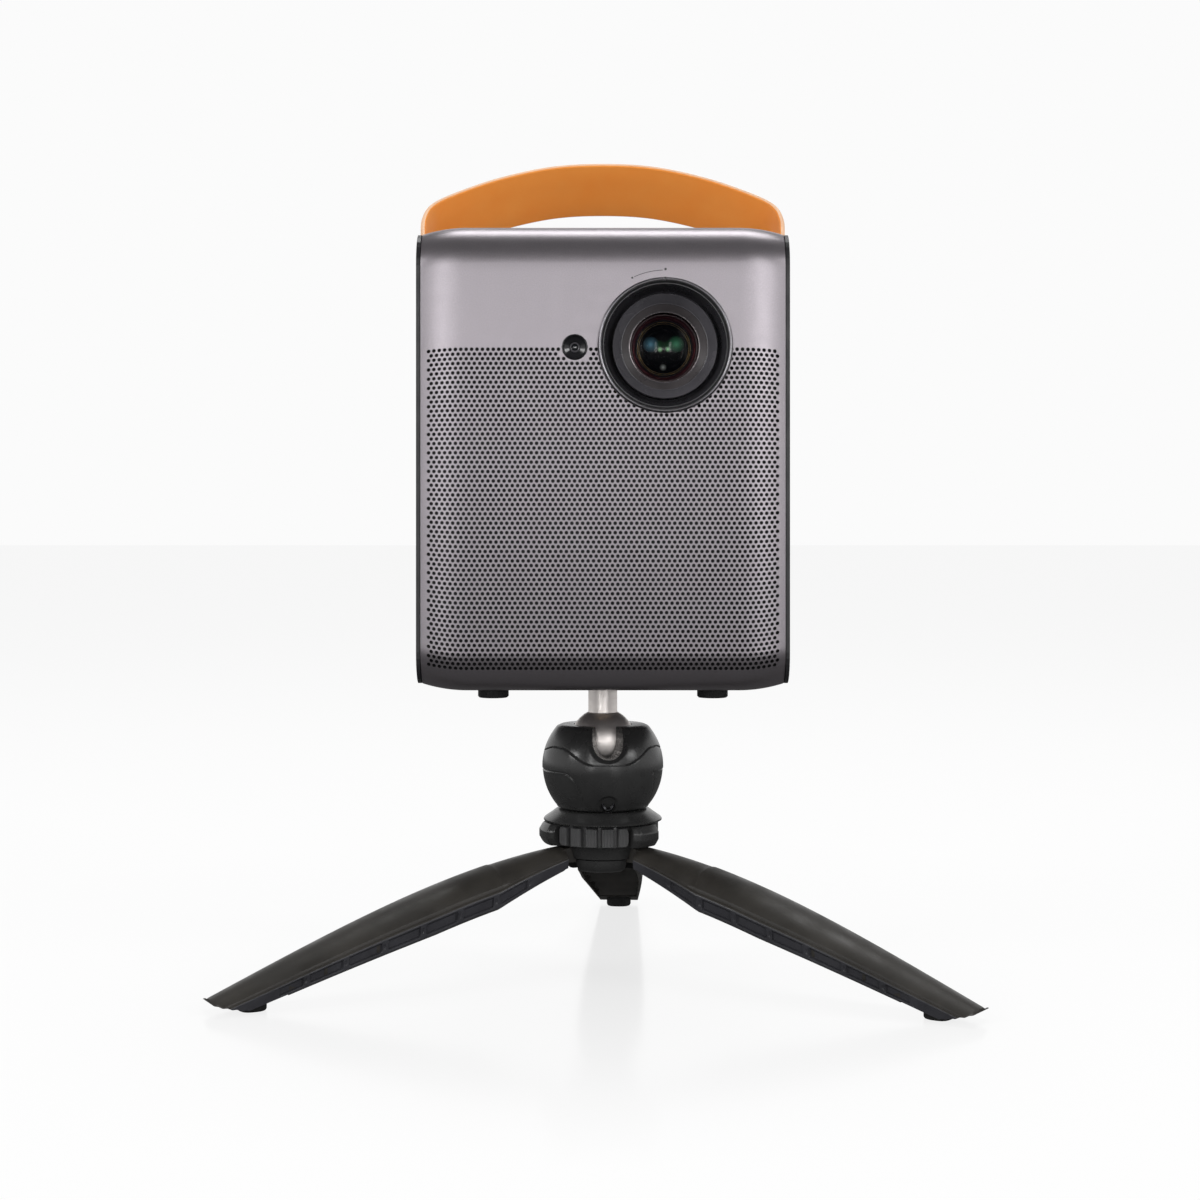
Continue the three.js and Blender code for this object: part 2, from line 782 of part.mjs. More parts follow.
// A grip section: an arc with a short wall at each edge. A hollow one is open below.
function gripShape(hollow) {
  const { radius: gripRadius, skin, wall } = GRIP;
  const spread = rad(GRIP.spread);
  const edgeX = gripRadius * Math.sin(spread);
  const edgeY = gripRadius * (Math.cos(spread) - 1);
  const shape = new THREE.Shape();
  shape.moveTo(edgeX - 0.8, edgeY - wall);
  shape.lineTo(edgeX, edgeY);
  shape.absarc(0, -gripRadius, gripRadius, Math.PI / 2 - spread, Math.PI / 2 + spread);
  shape.lineTo(-edgeX + 0.8, edgeY - wall);
  if (hollow) {
    const inner = gripRadius - skin;
    const innerSpread = Math.asin((edgeX - 0.8 - skin) / inner);
    shape.lineTo(-edgeX + 0.8 + skin, edgeY - wall);
    shape.absarc(0, -gripRadius, inner, Math.PI / 2 + innerSpread, Math.PI / 2 - innerSpread, true);
    shape.lineTo(edgeX - 0.8 - skin, edgeY - wall);
  }
  return shape;
}

// A length of leg along +X between two radii.
function legLength(r0, r1, hollow, steps) {
  const basis = new THREE.Matrix4().makeBasis(
    new THREE.Vector3(0, 1, 0),
    new THREE.Vector3(0, 0, 1),
    new THREE.Vector3(1, 0, 0),
  );
  const bar = extrude(gripShape(hollow), r1 - r0, steps, 5).applyMatrix4(basis).translate(r0, 0, 0);
  return reshape(bar, (p) => {
    const width = legWidth(p.x);
    p.y *= width;
    p.z = crown(p.x) + p.z * width;
  });
}

function leg() {
  const { pivotR, pivotZ, startR, rootR, toeR } = LEG;
  const shell = legLength(startR, toeR, true, LEG_STEPS);
  const toe = legLength(toeR - 30, toeR, false, 2);
  const root = legLength(startR, startR + 5, false, 1);
  const tongue = join(
    rod(3.6, -4.9, 4.9, "y", 20).translate(pivotR, 0, pivotZ),
    box([pivotR, -4.9, pivotZ - 3.6], [rootR + 4, 4.9, pivotZ + 1.6]),
  );
  const ribs = [];
  for (let r = rootR + 22; r < toeR - 34; r += 24) {
    ribs.push(overlap(box([r, -20, 0], [r + 1.6, 20, 60]), legLength(rootR, toeR, false, LEG_STEPS)));
  }
  const pinHole = rod(1.5 + GAP, -8, 8, "y", 16).translate(pivotR, 0, pivotZ);
  const toeLift = box([0, -20, -20], [40, 20, 0]).rotateY(rad(-10)).translate(FOOT.innerR, 0, 1.2);
  return cut(join(shell, toe, root, tongue, ...ribs), pinHole, footPad(GAP), toeLift);
}

function legPin() {
  return rod(1.5, -8.2, 8.2, "y", 16).translate(LEG.pivotR, 0, LEG.pivotZ);
}

// The rubber foot is a plug that stands in a pocket of the toe. grow makes the pocket.
function footPad(grow = 0) {
  const { innerR, outerR, width, height } = FOOT;
  const pad = roundedShape(outerR - innerR + 2 * grow, width + 2 * grow, 5);
  return extrude(pad, height + 2 * grow, 1, 5).translate((innerR + outerR) / 2, 0, -grow);
}

// ---------------------------------------------------------------- assembly
function buildProjector() {
  const projector = new THREE.Group();
  projector.position.z = STAND_HEIGHT;
  const add = (name, geometry, material) => piece(projector, name, geometry, material);
  const frontY = -BODY.depth / 2;
  const onLensAxis = (geometry) => geometry.translate(LENS.x, frontY, LENS.z);

  add("sleeve", sleeve(), "sleeve");
  add("side_panel_left", sidePanel(), "black").scale.x = -1;
  add("side_panel_right", sidePanel(), "black");
  add("chassis", chassis(), "aluminium");
  [
    ["front_left", -1, -1],
    ["front_right", 1, -1],
    ["rear_left", -1, 1],
    ["rear_right", 1, 1],
  ].forEach(([corner, x, y]) => {
    add(`body_foot_${corner}`, bodyFoot().translate(x * 45, y * 50, 0), "rubber");
  });

  const strapMesh = add("strap", strap(), "leather");
  strapMesh.position.z = STRAP.pivotZ;
  strapMesh.rotation.x = -rad(STRAP.lean);
  [
    ["left", -1],
    ["right", 1],
  ].forEach(([name, side]) => {
    const rivet = add(`strap_rivet_${name}`, strapRivet(side), "steel");
    rivet.position.z = STRAP.pivotZ;
  });

  add("lens_ring", onLensAxis(lensRing()), "aluminium");
  add("lens_hood", onLensAxis(lensHood()), "gloss");
  add("lens_barrel", onLensAxis(lensBarrel()), "black");
  add("front_element", onLensAxis(lensElement(13.9, 1.4, 2.4, 0, 12.6)), "glass");
  add("element_retainer", onLensAxis(elementRetainer()), "coated");
  add("inner_element", onLensAxis(lensElement(9.7, 2, 2, 0, 22.5)), "glass");
  add("focus_gear", focusGear().translate(LENS.x, 0, LENS.z), "black");
  add("motor_pinion", motorPinion().translate(PINION.x, 0, PINION.z), "brass");
  add("focus_motor", focusMotor().translate(PINION.x, 0, PINION.z), "steel");
  add("camera_window", cameraWindow(), "gloss");
  add("camera_module", cameraModule(), "black");

  add("optical_engine", opticalEngine(), "black");
  add("light_source", box([24, 0, 104], [44, 20, 111.7]), "aluminium");
  add("heat_pipe", rod(4, 82.3, 103.7, "z", 20).translate(34, 10, 0), "copper");
  add("heat_sink", heatSink(), "aluminium");
  add("fan_frame", fanFrame().translate(FAN.x, FAN.y, FAN.z), "black");
  add("fan_impeller", fanImpeller().translate(FAN.x, FAN.y, FAN.z), "black");
  add("main_board", mainBoard(), "board");
  add("power_board", powerBoard(), "board");
  add("battery_pack", batteryPack(), "cell");
  [
    ["left", -30],
    ["right", 30],
  ].forEach(([name, x]) => {
    add(`speaker_${name}`, speaker().translate(x, -70, 58), "black");
  });

  add("rear_panel", rearPanel(), "black");
  add("power_jack", jackShell(SOCKETS.power, true), "black");
  add("video_socket", socketShell(SOCKETS.video), "steel");
  add("usb_socket", socketShell(SOCKETS.usb), "steel");
  add("audio_jack", jackShell(SOCKETS.audio, false), "black");
  add("power_button", powerButton(), "black");
  add("button_board", buttonBoard(), "board");
  add("tripod_insert", tripodInsert(), "brass");
  return projector;
}

function buildTripod() {
  const tripod = new THREE.Group();
  const add = (name, geometry, material) => piece(tripod, name, geometry, material);
  add("ball_stem", ballStem(), "steel");
  add("ball_housing", ballHousing().rotateZ(rad(HEAD.slotTurn)), "black");
  add("index_screw", indexScrew().rotateZ(rad(HEAD.slotTurn)), "steel");
  add("ball_seat", ballSeat(), "black");
  add("seat_spring", seatSpring(), "steel");
  add("skirt", skirt(), "black");
  add("lock_ring", lockRing(), "black");
  add("base_hub", baseHub(), "black");
  add("base_plate", basePlate(), "black");
  ["left", "right", "rear"].forEach((name, i) => {
    const turn = rad(LEG_TURNS[i]);
    add(`leg_${name}`, leg().rotateZ(turn), "leg");
    add(`leg_pin_${name}`, legPin().rotateZ(turn), "steel");
    add(`leg_foot_${name}`, footPad().rotateZ(turn), "rubber");
  });
  return tripod;
}

// The part's origin is on the floor at the middle of its bounding box.
const part = new THREE.Group();
part.add(buildProjector(), buildTripod());
const bounds = new THREE.Box3().setFromObject(part, true);
const middle = bounds.getCenter(new THREE.Vector3());
for (const group of part.children) {
  group.position.x -= middle.x;
  group.position.y -= middle.y;
}

export default part;
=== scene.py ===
"""A portable projector on a mini tripod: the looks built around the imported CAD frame."""

import json
import math

import bmesh
import bpy
from mathutils import Matrix, Vector


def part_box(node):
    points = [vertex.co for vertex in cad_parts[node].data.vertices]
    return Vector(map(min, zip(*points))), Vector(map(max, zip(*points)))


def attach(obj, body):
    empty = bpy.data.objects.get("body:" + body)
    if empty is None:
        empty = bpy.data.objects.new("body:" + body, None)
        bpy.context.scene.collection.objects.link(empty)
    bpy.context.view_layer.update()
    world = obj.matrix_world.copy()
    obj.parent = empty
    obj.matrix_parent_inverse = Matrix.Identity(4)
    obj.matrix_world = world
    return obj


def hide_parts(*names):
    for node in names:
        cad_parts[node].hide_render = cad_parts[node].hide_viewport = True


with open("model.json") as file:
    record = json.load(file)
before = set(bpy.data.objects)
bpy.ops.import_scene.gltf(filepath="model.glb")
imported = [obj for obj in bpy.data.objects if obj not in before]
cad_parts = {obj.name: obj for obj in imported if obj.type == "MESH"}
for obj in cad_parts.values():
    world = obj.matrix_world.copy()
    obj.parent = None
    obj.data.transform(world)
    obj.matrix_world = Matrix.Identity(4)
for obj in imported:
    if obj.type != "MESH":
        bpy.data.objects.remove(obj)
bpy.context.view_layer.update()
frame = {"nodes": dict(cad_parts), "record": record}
MM = 0.001

# ---------------------------------------------------------------- places, from the frame
SLEEVE_LOW, SLEEVE_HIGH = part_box("sleeve")
PROJECTOR = Vector(((SLEEVE_LOW.x + SLEEVE_HIGH.x) / 2, (SLEEVE_LOW.y + SLEEVE_HIGH.y) / 2, SLEEVE_LOW.z))
FLOOR_UNDER_HUB = Vector((PROJECTOR.x, PROJECTOR.y, 0.0))


def at_projector(x, y, z):
    """A place given in millimetres from the middle of the projector's underside."""
    return PROJECTOR + Vector((x, y, z)) * MM


def at_tripod(x, y, z):
    """A place given in millimetres from the floor under the tripod's axis."""
    return FLOOR_UNDER_HUB + Vector((x, y, z)) * MM


# ---------------------------------------------------------------- mesh helpers
def new_object(name, vertices, faces, material, smooth_angle=35):
    mesh = bpy.data.meshes.new(name)
    mesh.from_pydata([tuple(v) for v in vertices], [], faces)
    mesh.update()
    obj = bpy.data.objects.new(name, mesh)
    bpy.context.scene.collection.objects.link(obj)
    obj.data.materials.append(material)
    if smooth_angle:
        smooth(obj, smooth_angle)
    return obj


def smooth(obj, degrees):
    """Smooth shading, broken at edges sharper than the angle."""
    obj.data.polygons.foreach_set("use_smooth", [True] * len(obj.data.polygons))
    obj.data.set_sharp_from_angle(angle=math.radians(degrees))


def prism_faces(count):
    """Faces of a closed prism between two rings of vertices."""
    faces = [list(range(count)), list(range(2 * count - 1, count - 1, -1))]
    return faces + [[i, i + count, (i + 1) % count + count, (i + 1) % count] for i in range(count)]


def sheet_faces(cells, across, layer):
    """Both sides of a sheet of grid cells (i, j), with walls at its open edges. A row has `across`
    vertices, and the second side's vertices follow the first side's `layer` vertices."""
    faces = []
    for i, j in sorted(cells):
        n = (i + 1) % across
        ring = [j * across + i, j * across + n, (j + 1) * across + n, (j + 1) * across + i]
        faces += [ring, [v + layer for v in reversed(ring)]]
        for k, (di, dj) in enumerate(((0, -1), (1, 0), (0, 1), (-1, 0))):
            if ((i + di) % across, j + dj) not in cells:
                u, v = ring[k], ring[(k + 1) % 4]
                faces.append([v, u, u + layer, v + layer])
    return faces


def fix_normals(obj):
    bm = bmesh.new()
    bm.from_mesh(obj.data)
    bmesh.ops.remove_doubles(bm, verts=bm.verts, dist=1e-7)
    bmesh.ops.recalc_face_normals(bm, faces=bm.faces)
    bm.to_mesh(obj.data)
    bm.free()
    obj.data.update()


def lathe(name, profile, material, segments=128, axis="z", origin=(0, 0, 0), smooth_angle=35, closed=True):
    """Turns [radius, height] points (millimetres) round an axis through origin (metres)."""
    origin = Vector(origin)
    vertices = []
    rows = []
    for radius, height in profile:
        if radius < 1e-6:
            rows.append([len(vertices)] * segments)
            vertices.append(spin_point(0, height, 0, axis) * MM + origin)
            continue
        row = []
        for i in range(segments):
            row.append(len(vertices))
            vertices.append(spin_point(radius, height, 2 * math.pi * i / segments, axis) * MM + origin)
        rows.append(row)
    faces = []
    pairs = list(zip(rows, rows[1:]))
    if closed:
        pairs.append((rows[-1], rows[0]))
    for low, high in pairs:
        for i in range(segments):
            j = (i + 1) % segments
            face = []
            for index in (low[i], low[j], high[j], high[i]):
                if index not in face:
                    face.append(index)
            if len(face) > 2:
                faces.append(face)
    obj = new_object(name, vertices, faces, material, 0)
    fix_normals(obj)
    smooth(obj, smooth_angle)
    return obj


def spin_point(radius, height, angle, axis):
    a = radius * math.cos(angle)
    b = radius * math.sin(angle)
    if axis == "y":
        return Vector((a, height, b))
    if axis == "x":
        return Vector((height, a, b))
    return Vector((a, b, height))


def place(obj, body, replaces=()):
    """Attaches a piece to what it rides on and hides the CAD nodes it stands for."""
    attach(obj, body)
    if replaces:
        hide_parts(*replaces)
    return obj


# ---------------------------------------------------------------- materials
def color_ramp(tree, source, stops):
    """A ramp through (position, colour) or (position, grey level) stops."""
    node = tree.nodes.new("ShaderNodeValToRGB")
    elements = node.color_ramp.elements
    while len(elements) < len(stops):
        elements.new(0.5)
    for element, (position, color) in zip(elements, stops):
        element.position = position
        element.color = (*color, 1.0) if isinstance(color, tuple) else (color, color, color, 1.0)
    tree.links.new(source, node.inputs["Fac"])
    return node.outputs["Color"]


def math_node(tree, operation, first, second):
    node = tree.nodes.new("ShaderNodeMath")
    node.operation = operation
    for socket, value in zip(node.inputs, (first, second)):
        if isinstance(value, (int, float)):
            socket.default_value = value
        else:
            tree.links.new(value, socket)
    return node.outputs[0]


def vector_node(tree, operation, source, other=(0, 0, 0)):
    node = tree.nodes.new("ShaderNodeVectorMath")
    node.operation = operation
    node.inputs[1].default_value = other
    tree.links.new(source, node.inputs[0])
    return node.outputs


class Nodes:
    """A small builder for one material's node tree."""

    def __init__(self, name):
        self.material = bpy.data.materials.new(name)
        self.material.use_nodes = True
        self.tree = self.material.node_tree
        self.shader = self.tree.nodes["Principled BSDF"]
        self.coords = self.tree.nodes.new("ShaderNodeTexCoord")

    def set(self, **values):
        for key, value in values.items():
            self.shader.inputs[key.replace("_", " ")].default_value = value
        return self

    def noise(self, scale, detail=3.0, roughness=0.55, stretch=None):
        node = self.tree.nodes.new("ShaderNodeTexNoise")
        node.inputs["Scale"].default_value = scale
        node.inputs["Detail"].default_value = detail
        node.inputs["Roughness"].default_value = roughness
        self.tree.links.new(self.mapped(stretch), node.inputs["Vector"])
        return node.outputs["Fac"]

    def mapped(self, stretch):
        if stretch is None:
            return self.coords.outputs["Object"]
        node = self.tree.nodes.new("ShaderNodeMapping")
        node.inputs["Scale"].default_value = stretch
        self.tree.links.new(self.coords.outputs["Object"], node.inputs["Vector"])
        return node.outputs["Vector"]

    def voronoi(self, scale):
        node = self.tree.nodes.new("ShaderNodeTexVoronoi")
        node.inputs["Scale"].default_value = scale
        self.tree.links.new(self.coords.outputs["Object"], node.inputs["Vector"])
        return node.outputs["Distance"]

    def color(self, source, dark, light, spread=(0.35, 0.65)):
        output = color_ramp(self.tree, source, [(spread[0], dark), (spread[1], light)])
        self.tree.links.new(output, self.shader.inputs["Base Color"])
        return self

    def roughness(self, source, low, high, spread=(0.35, 0.65)):
        node = self.tree.nodes.new("ShaderNodeMapRange")
        node.inputs["From Min"].default_value = spread[0]
        node.inputs["From Max"].default_value = spread[1]
        node.inputs["To Min"].default_value = low
        node.inputs["To Max"].default_value = high
        self.tree.links.new(source, node.inputs["Value"])
        self.tree.links.new(node.outputs["Result"], self.shader.inputs["Roughness"])
        return self

    def bump(self, source, distance, strength=1.0):
        node = self.tree.nodes.new("ShaderNodeBump")
        node.inputs["Strength"].default_value = strength
        node.inputs["Distance"].default_value = distance
        self.tree.links.new(source, node.inputs["Height"])
        previous = self.shader.inputs["Normal"].links
        if previous:
            self.tree.links.new(previous[0].from_socket, node.inputs["Normal"])
        self.tree.links.new(node.outputs["Normal"], self.shader.inputs["Normal"])
        return self


def tinted(color, factor):
    return tuple(min(1.0, channel * factor) for channel in color)


def moulded_plastic(name, color, rough=0.42, grain=1400, depth=0.00002):
    """Fine spark-eroded grain, with slow changes of gloss where hands touch."""
    n = Nodes(name).set(Specular_IOR_Level=0.45)
    n.color(n.noise(60, 4), tinted(color, 0.82), tinted(color, 1.2))
    n.roughness(n.noise(90, 4), rough - 0.07, rough + 0.09)
    n.bump(n.noise(grain, 2), depth, 0.6)
    return n.material


def blasted_metal(name, dark, light, rough, sparkle=2600):
    """Bead-blasted and anodised metal with a fine sparkle."""
    n = Nodes(name).set(Metallic=0.9)
    n.color(n.noise(sparkle, 2, 0.7), dark, light, (0.3, 0.7))
    n.roughness(n.noise(240, 3), rough - 0.012, rough + 0.015)
    n.bump(n.noise(sparkle, 2, 0.7), 0.000014, 0.5)
    return n.material


def turned_metal(name, color, rough=0.16):
    """Turned and polished metal with faint tool lines round its axis."""
    n = Nodes(name).set(Metallic=1.0)
    n.color(n.noise(25, 3), tinted(color, 0.9), tinted(color, 1.08))
    n.roughness(n.noise(180, 3, stretch=(1, 1, 22)), rough - 0.05, rough + 0.1)
    n.bump(n.noise(160, 2, stretch=(0.4, 0.4, 30)), 0.000006, 0.3)
    return n.material


def soft_rubber(name, color):
    n = Nodes(name).set(Specular_IOR_Level=0.3)
    n.color(n.noise(120, 4), tinted(color, 0.7), tinted(color, 1.5))
    n.roughness(n.noise(220, 3), 0.62, 0.85)
    n.bump(n.noise(1800, 3), 0.00003, 0.7)
    return n.material


def circuit_board(name):
    n = Nodes(name).set(Specular_IOR_Level=0.5)
    n.color(n.voronoi(180), (0.008, 0.06, 0.03), (0.02, 0.16, 0.08), (0.1, 0.5))
    n.roughness(n.noise(200, 3), 0.3, 0.5)
    return n.material


def coated_glass(name, tint):
    """Optical glass with a coloured coating: mostly a dark, sharp reflection."""
    n = Nodes(name).set(IOR=1.6, Coat_Weight=1.0, Coat_Roughness=0.01, Coat_IOR=1.7)
    n.set(Transmission_Weight=0.0, Roughness=0.02, Specular_IOR_Level=0.7)
    n.color(n.noise(70, 2), tinted(tint, 0.6), tinted(tint, 1.4))
    return n.material


def clear_glass(name):
    """A front element so well coated that only its faint sheen shows."""
    n = Nodes(name).set(IOR=1.45, Alpha=0.05, Roughness=0.1, Specular_IOR_Level=0.25)
    n.color(n.noise(40, 2), (0.01, 0.015, 0.02), (0.02, 0.02, 0.03))
    return n.material


def painted_reflection_glass(name):
    """Near-black glass with painted reflections: the blue and green glints of its coating and inner elements,
    fixed in object coordinates.
    """
    n = Nodes(name).set(Roughness=0.04, Specular_IOR_Level=0.2, IOR=1.5)
    tree = n.tree
    total = None
    flat = vector_node(tree, "MULTIPLY", n.coords.outputs["Object"], (1, 0, 1))["Vector"]
    for (x, z), radius, tint in PAINTED_GLASS_REFLECTIONS:
        middle = (x * MM + LENS_AXIS_POINT.x, 0, z * MM + LENS_AXIS_POINT.z)
        away = vector_node(tree, "DISTANCE", flat, middle)["Value"]
        share = math_node(tree, "DIVIDE", away, radius * MM)
        painted_glint = color_ramp(tree, share, [(0.0, tint), (0.45, tinted(tint, 0.4)), (1.0, (0, 0, 0))])
        if total is None:
            total = painted_glint
            continue
        add = tree.nodes.new("ShaderNodeMix")
        add.data_type = "RGBA"
        add.blend_type = "ADD"
        add.inputs["Factor"].default_value = 1.0
        tree.links.new(total, add.inputs["A"])
        tree.links.new(painted_glint, add.inputs["B"])
        total = add.outputs["Result"]
    tree.links.new(total, n.shader.inputs["Base Color"])
    n.roughness(n.noise(300, 2), 0.04, 0.07)
    return n.material


# Place on the glass (millimetres across and up from its middle), reach and tint of each painted reflection:
# the glints of the coating and the inner elements.
PAINTED_GLASS_REFLECTIONS = [
    ((-5.4, 1.7), 3.4, (0.10, 0.26, 0.36)),
    ((5.1, 1.8), 3.6, (0.07, 0.28, 0.15)),
    ((-1.9, 1.1), 2.8, (0.01, 0.06, 0.02)),
    ((1.9, 1.1), 2.8, (0.01, 0.06, 0.02)),
    ((-1.6, -0.4), 1.2, (0.5, 0.95, 0.5)),
    ((1.6, -0.3), 1.2, (0.45, 0.95, 0.5)),
    ((-0.3, -7.6), 1.5, (0.35, 0.38, 0.36)),
]
ELEMENT_LOW, ELEMENT_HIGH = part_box("inner_element")
LENS_AXIS_POINT = (ELEMENT_LOW + ELEMENT_HIGH) / 2


def leather(name, dark, light, pore=620):
    """Smooth full-grain leather: cell-like grain, soft mottling and a waxed finish."""
    n = Nodes(name).set(Specular_IOR_Level=0.35, Sheen_Weight=0.12, Sheen_Roughness=0.4)
    n.color(n.noise(38, 5, 0.6), dark, light, (0.3, 0.72))
    n.roughness(n.noise(150, 4), 0.42, 0.58)
    n.bump(n.voronoi(pore), 0.00005, 0.4)
    n.bump(n.noise(1500, 4), 0.00002, 0.35)
    return n.material


M = {
    "sleeve": blasted_metal("sleeve_metal", (0.262, 0.24, 0.26), (0.308, 0.285, 0.305), 0.34),
    # Near-black for the sleeve's inner side and the walls of its holes: painted shade.
    "core": moulded_plastic("sleeve_core", (0.012, 0.012, 0.013), 0.6),
    "case": moulded_plastic("case_plastic", (0.018, 0.018, 0.02), 0.38),
    "ring": blasted_metal("ring_metal", (0.16, 0.155, 0.165), (0.26, 0.25, 0.265), 0.3, 2000),
    "gloss": moulded_plastic("lens_gloss", (0.010, 0.010, 0.012), 0.2, 700, 0.000004),
    "hood": moulded_plastic("hood_satin", (0.028, 0.027, 0.031), 0.3, 900, 0.000004),
    "barrel": moulded_plastic("lens_barrel_grey", (0.070, 0.067, 0.075), 0.22, 900, 0.000006),
    "barrel_dark": moulded_plastic("lens_barrel_dark", (0.06, 0.054, 0.056), 0.32, 900, 0.00001),
    "maroon": moulded_plastic("coated_metal", (0.022, 0.0035, 0.0055), 0.36, 900, 0.000004),
    "bright": turned_metal("bright_edge", (0.62, 0.55, 0.56), 0.2),
    "gold": turned_metal("gold_edge", (0.30, 0.20, 0.07), 0.3),
    "glass": coated_glass("inner_glass", (0.004, 0.006, 0.008)),
    "clear": clear_glass("front_glass"),
    # The inner element: near-black glass with painted blue and green reflections in its colour.
    "coated": painted_reflection_glass("coated_glass"),
    "maroon_edge": turned_metal("maroon_edge", (0.2, 0.05, 0.06), 0.3),
    "steel": turned_metal("polished_steel", (0.72, 0.69, 0.65), 0.14),
    "black_steel": turned_metal("black_steel", (0.03, 0.03, 0.032), 0.25),
    "satin_steel": turned_metal("satin_steel", (0.86, 0.81, 0.78), 0.4),
    "aluminium": blasted_metal("frame_aluminium", (0.5, 0.5, 0.52), (0.66, 0.66, 0.68), 0.35, 1500),
    "brass": turned_metal("brass", (0.66, 0.5, 0.24), 0.2),
    "copper": turned_metal("copper", (0.7, 0.34, 0.2), 0.22),
    "board": circuit_board("board_green"),
    "cell": moulded_plastic("cell_wrap", (0.03, 0.09, 0.2), 0.3),
    "inner": moulded_plastic("inner_plastic", (0.02, 0.02, 0.022), 0.45),
    "rubber": soft_rubber("foot_rubber", (0.012, 0.012, 0.012)),
    "leather": leather("strap_leather", (0.98, 0.32, 0.05), (1.0, 0.365, 0.066)),
    # Lighter, paler leather for the strap's cut edges: a painted highlight along its thickness.
    "leather_edge_highlight": leather("strap_edge_highlight", (0.80, 0.47, 0.27), (0.92, 0.58, 0.36), 900),
    "head": moulded_plastic("head_plastic", (0.026, 0.026, 0.026), 0.25, 1100),
    "grip": moulded_plastic("grip_plastic", (0.055, 0.055, 0.056), 0.34, 1400),
    "leg": moulded_plastic("leg_plastic", (0.034, 0.031, 0.027), 0.46, 1000),
    "leg_wall": moulded_plastic("leg_wall_plastic", (0.036, 0.036, 0.042), 0.4, 1000),
    "mark": moulded_plastic("printed_mark", (0.03, 0.03, 0.032), 0.5),
    "mesh": moulded_plastic("grille_cloth", (0.006, 0.006, 0.006), 0.8, 1200, 0.0001),
}

SLOT_MATERIALS = {
    "sleeve_metal": "sleeve",
    "case_plastic": "case",
    "frame_metal": "aluminium",
    "ring_metal": "ring",
    "lens_gloss": "gloss",
    "lens_black": "barrel",
    "lens_glass": "glass",
    "coated_metal": "maroon",
    "inner_plastic": "inner",
    "board_green": "board",
    "cell_wrap": "cell",
    "copper": "copper",
    "brass": "brass",
    "steel": "steel",
    "rubber": "rubber",
    "strap_leather": "leather",
    "head_plastic": "head",
    "leg_plastic": "leg",
}
SLOT_OF = {row["node"]: row["material_slot"] for row in frame["record"]["subparts"]}


def dress_cad_nodes():
    """Gives each CAD node that stays in view its material and smooth turned surfaces."""
    for name, obj in frame["nodes"].items():
        material = M[SLOT_MATERIALS[SLOT_OF[name]]]
        for slot in obj.material_slots:
            slot.link = "DATA"
            slot.material = material
        if not obj.material_slots:
            obj.data.materials.append(material)
        smooth(obj, 30)


# Edge rounding (mm) of each moulded piece that keeps its CAD shape.
SOFT_EDGES = {"side_panel_left": 0.45, "side_panel_right": 0.45, "rear_panel": 0.3, "power_button": 0.35}
for foot in ("front_left", "front_right", "rear_left", "rear_right"):
    SOFT_EDGES["body_foot_" + foot] = 0.5


def build_soft_edged():
    """Copies of the moulded CAD shapes with their edges rounded, which stand for them."""
    for node, width in SOFT_EDGES.items():
        obj = bpy.data.objects.new(node + "_moulded", frame["nodes"][node].data.copy())
        bpy.context.scene.collection.objects.link(obj)
        bevel = obj.modifiers.new("soft_edge", "BEVEL")
        bevel.width = width * MM
        bevel.segments = 3
        bevel.limit_method = "ANGLE"
        bevel.angle_limit = math.radians(40)
        bake_modifiers(obj)
        smooth(obj, 34)
        place(obj, "power_button" if node == "power_button" else "projector", (node,))


# ---------------------------------------------------------------- the sleeve and its grille
DEPTH = 150.0
HEIGHT = 188.0
CORNER = 16.0
SHEET = 1.4
SLEEVE_HALF = 73.2
PILLOW_START = 55.0
PILLOW_DROP = 2.6
LENS = (24.9, 139.3)
WINDOW = (-11.3, 138.5)
LENS_HOLE = 25.3
WINDOW_HOLE = 5.25
PITCH = 2.166
ROW = 1.88
COLUMNS = 65
ROWS = 69
HOLE_RADIUS = 0.79
HOLE_SIDES = 8
GRILLE_TOP = 138.6


def pillow(x):
    t = max(0.0, abs(x) - PILLOW_START) / (SLEEVE_HALF - PILLOW_START)
    return PILLOW_DROP * t * t


STRAIGHT_Z = HEIGHT - 2 * CORNER
STRAIGHT_Y = DEPTH - 2 * CORNER
ARC = CORNER * math.pi / 2
PERIMETER = 2 * (STRAIGHT_Z + STRAIGHT_Y + 2 * ARC)


def outline_point(s):
    """A point (y, z) and outward normal on the rounded outline. s is 0 where the front's lower bend begins
    and grows upwards, over the top, down the back and under."""
    s %= PERIMETER
    y0 = DEPTH / 2 - CORNER
    z0 = CORNER
    z1 = HEIGHT - CORNER
    legs = [
        (STRAIGHT_Z, lambda t: (-DEPTH / 2, z0 + t, -1, 0)),
        (ARC, lambda t: arc_point(-y0, z1, math.pi - t / CORNER)),
        (STRAIGHT_Y, lambda t: (-y0 + t, HEIGHT, 0, 1)),
        (ARC, lambda t: arc_point(y0, z1, math.pi / 2 - t / CORNER)),
        (STRAIGHT_Z, lambda t: (DEPTH / 2, z1 - t, 1, 0)),
        (ARC, lambda t: arc_point(y0, z0, -t / CORNER)),
        (STRAIGHT_Y, lambda t: (y0 - t, 0.0, 0, -1)),
        (ARC, lambda t: arc_point(-y0, z0, -math.pi / 2 - t / CORNER)),
    ]
    for length, point in legs:
        if s <= length:
            return point(s)
        s -= length
    return legs[0][1](0.0)


def arc_point(y, z, angle):
    c, n = math.cos(angle), math.sin(angle)
    return (y + CORNER * c, z + CORNER * n, c, n)


def sleeve_point(x, s, inset):
    """The sleeve's surface at x (millimetres across) and s (millimetres round), sunk by inset."""
    y, z, ny, nz = outline_point(s)
    drop = pillow(x)
    y = y * (1 - 2 * drop / DEPTH) - ny * inset
    z = (z - HEIGHT / 2) * (1 - 2 * drop / HEIGHT) + HEIGHT / 2 - nz * inset
    return at_projector(x, y, z)


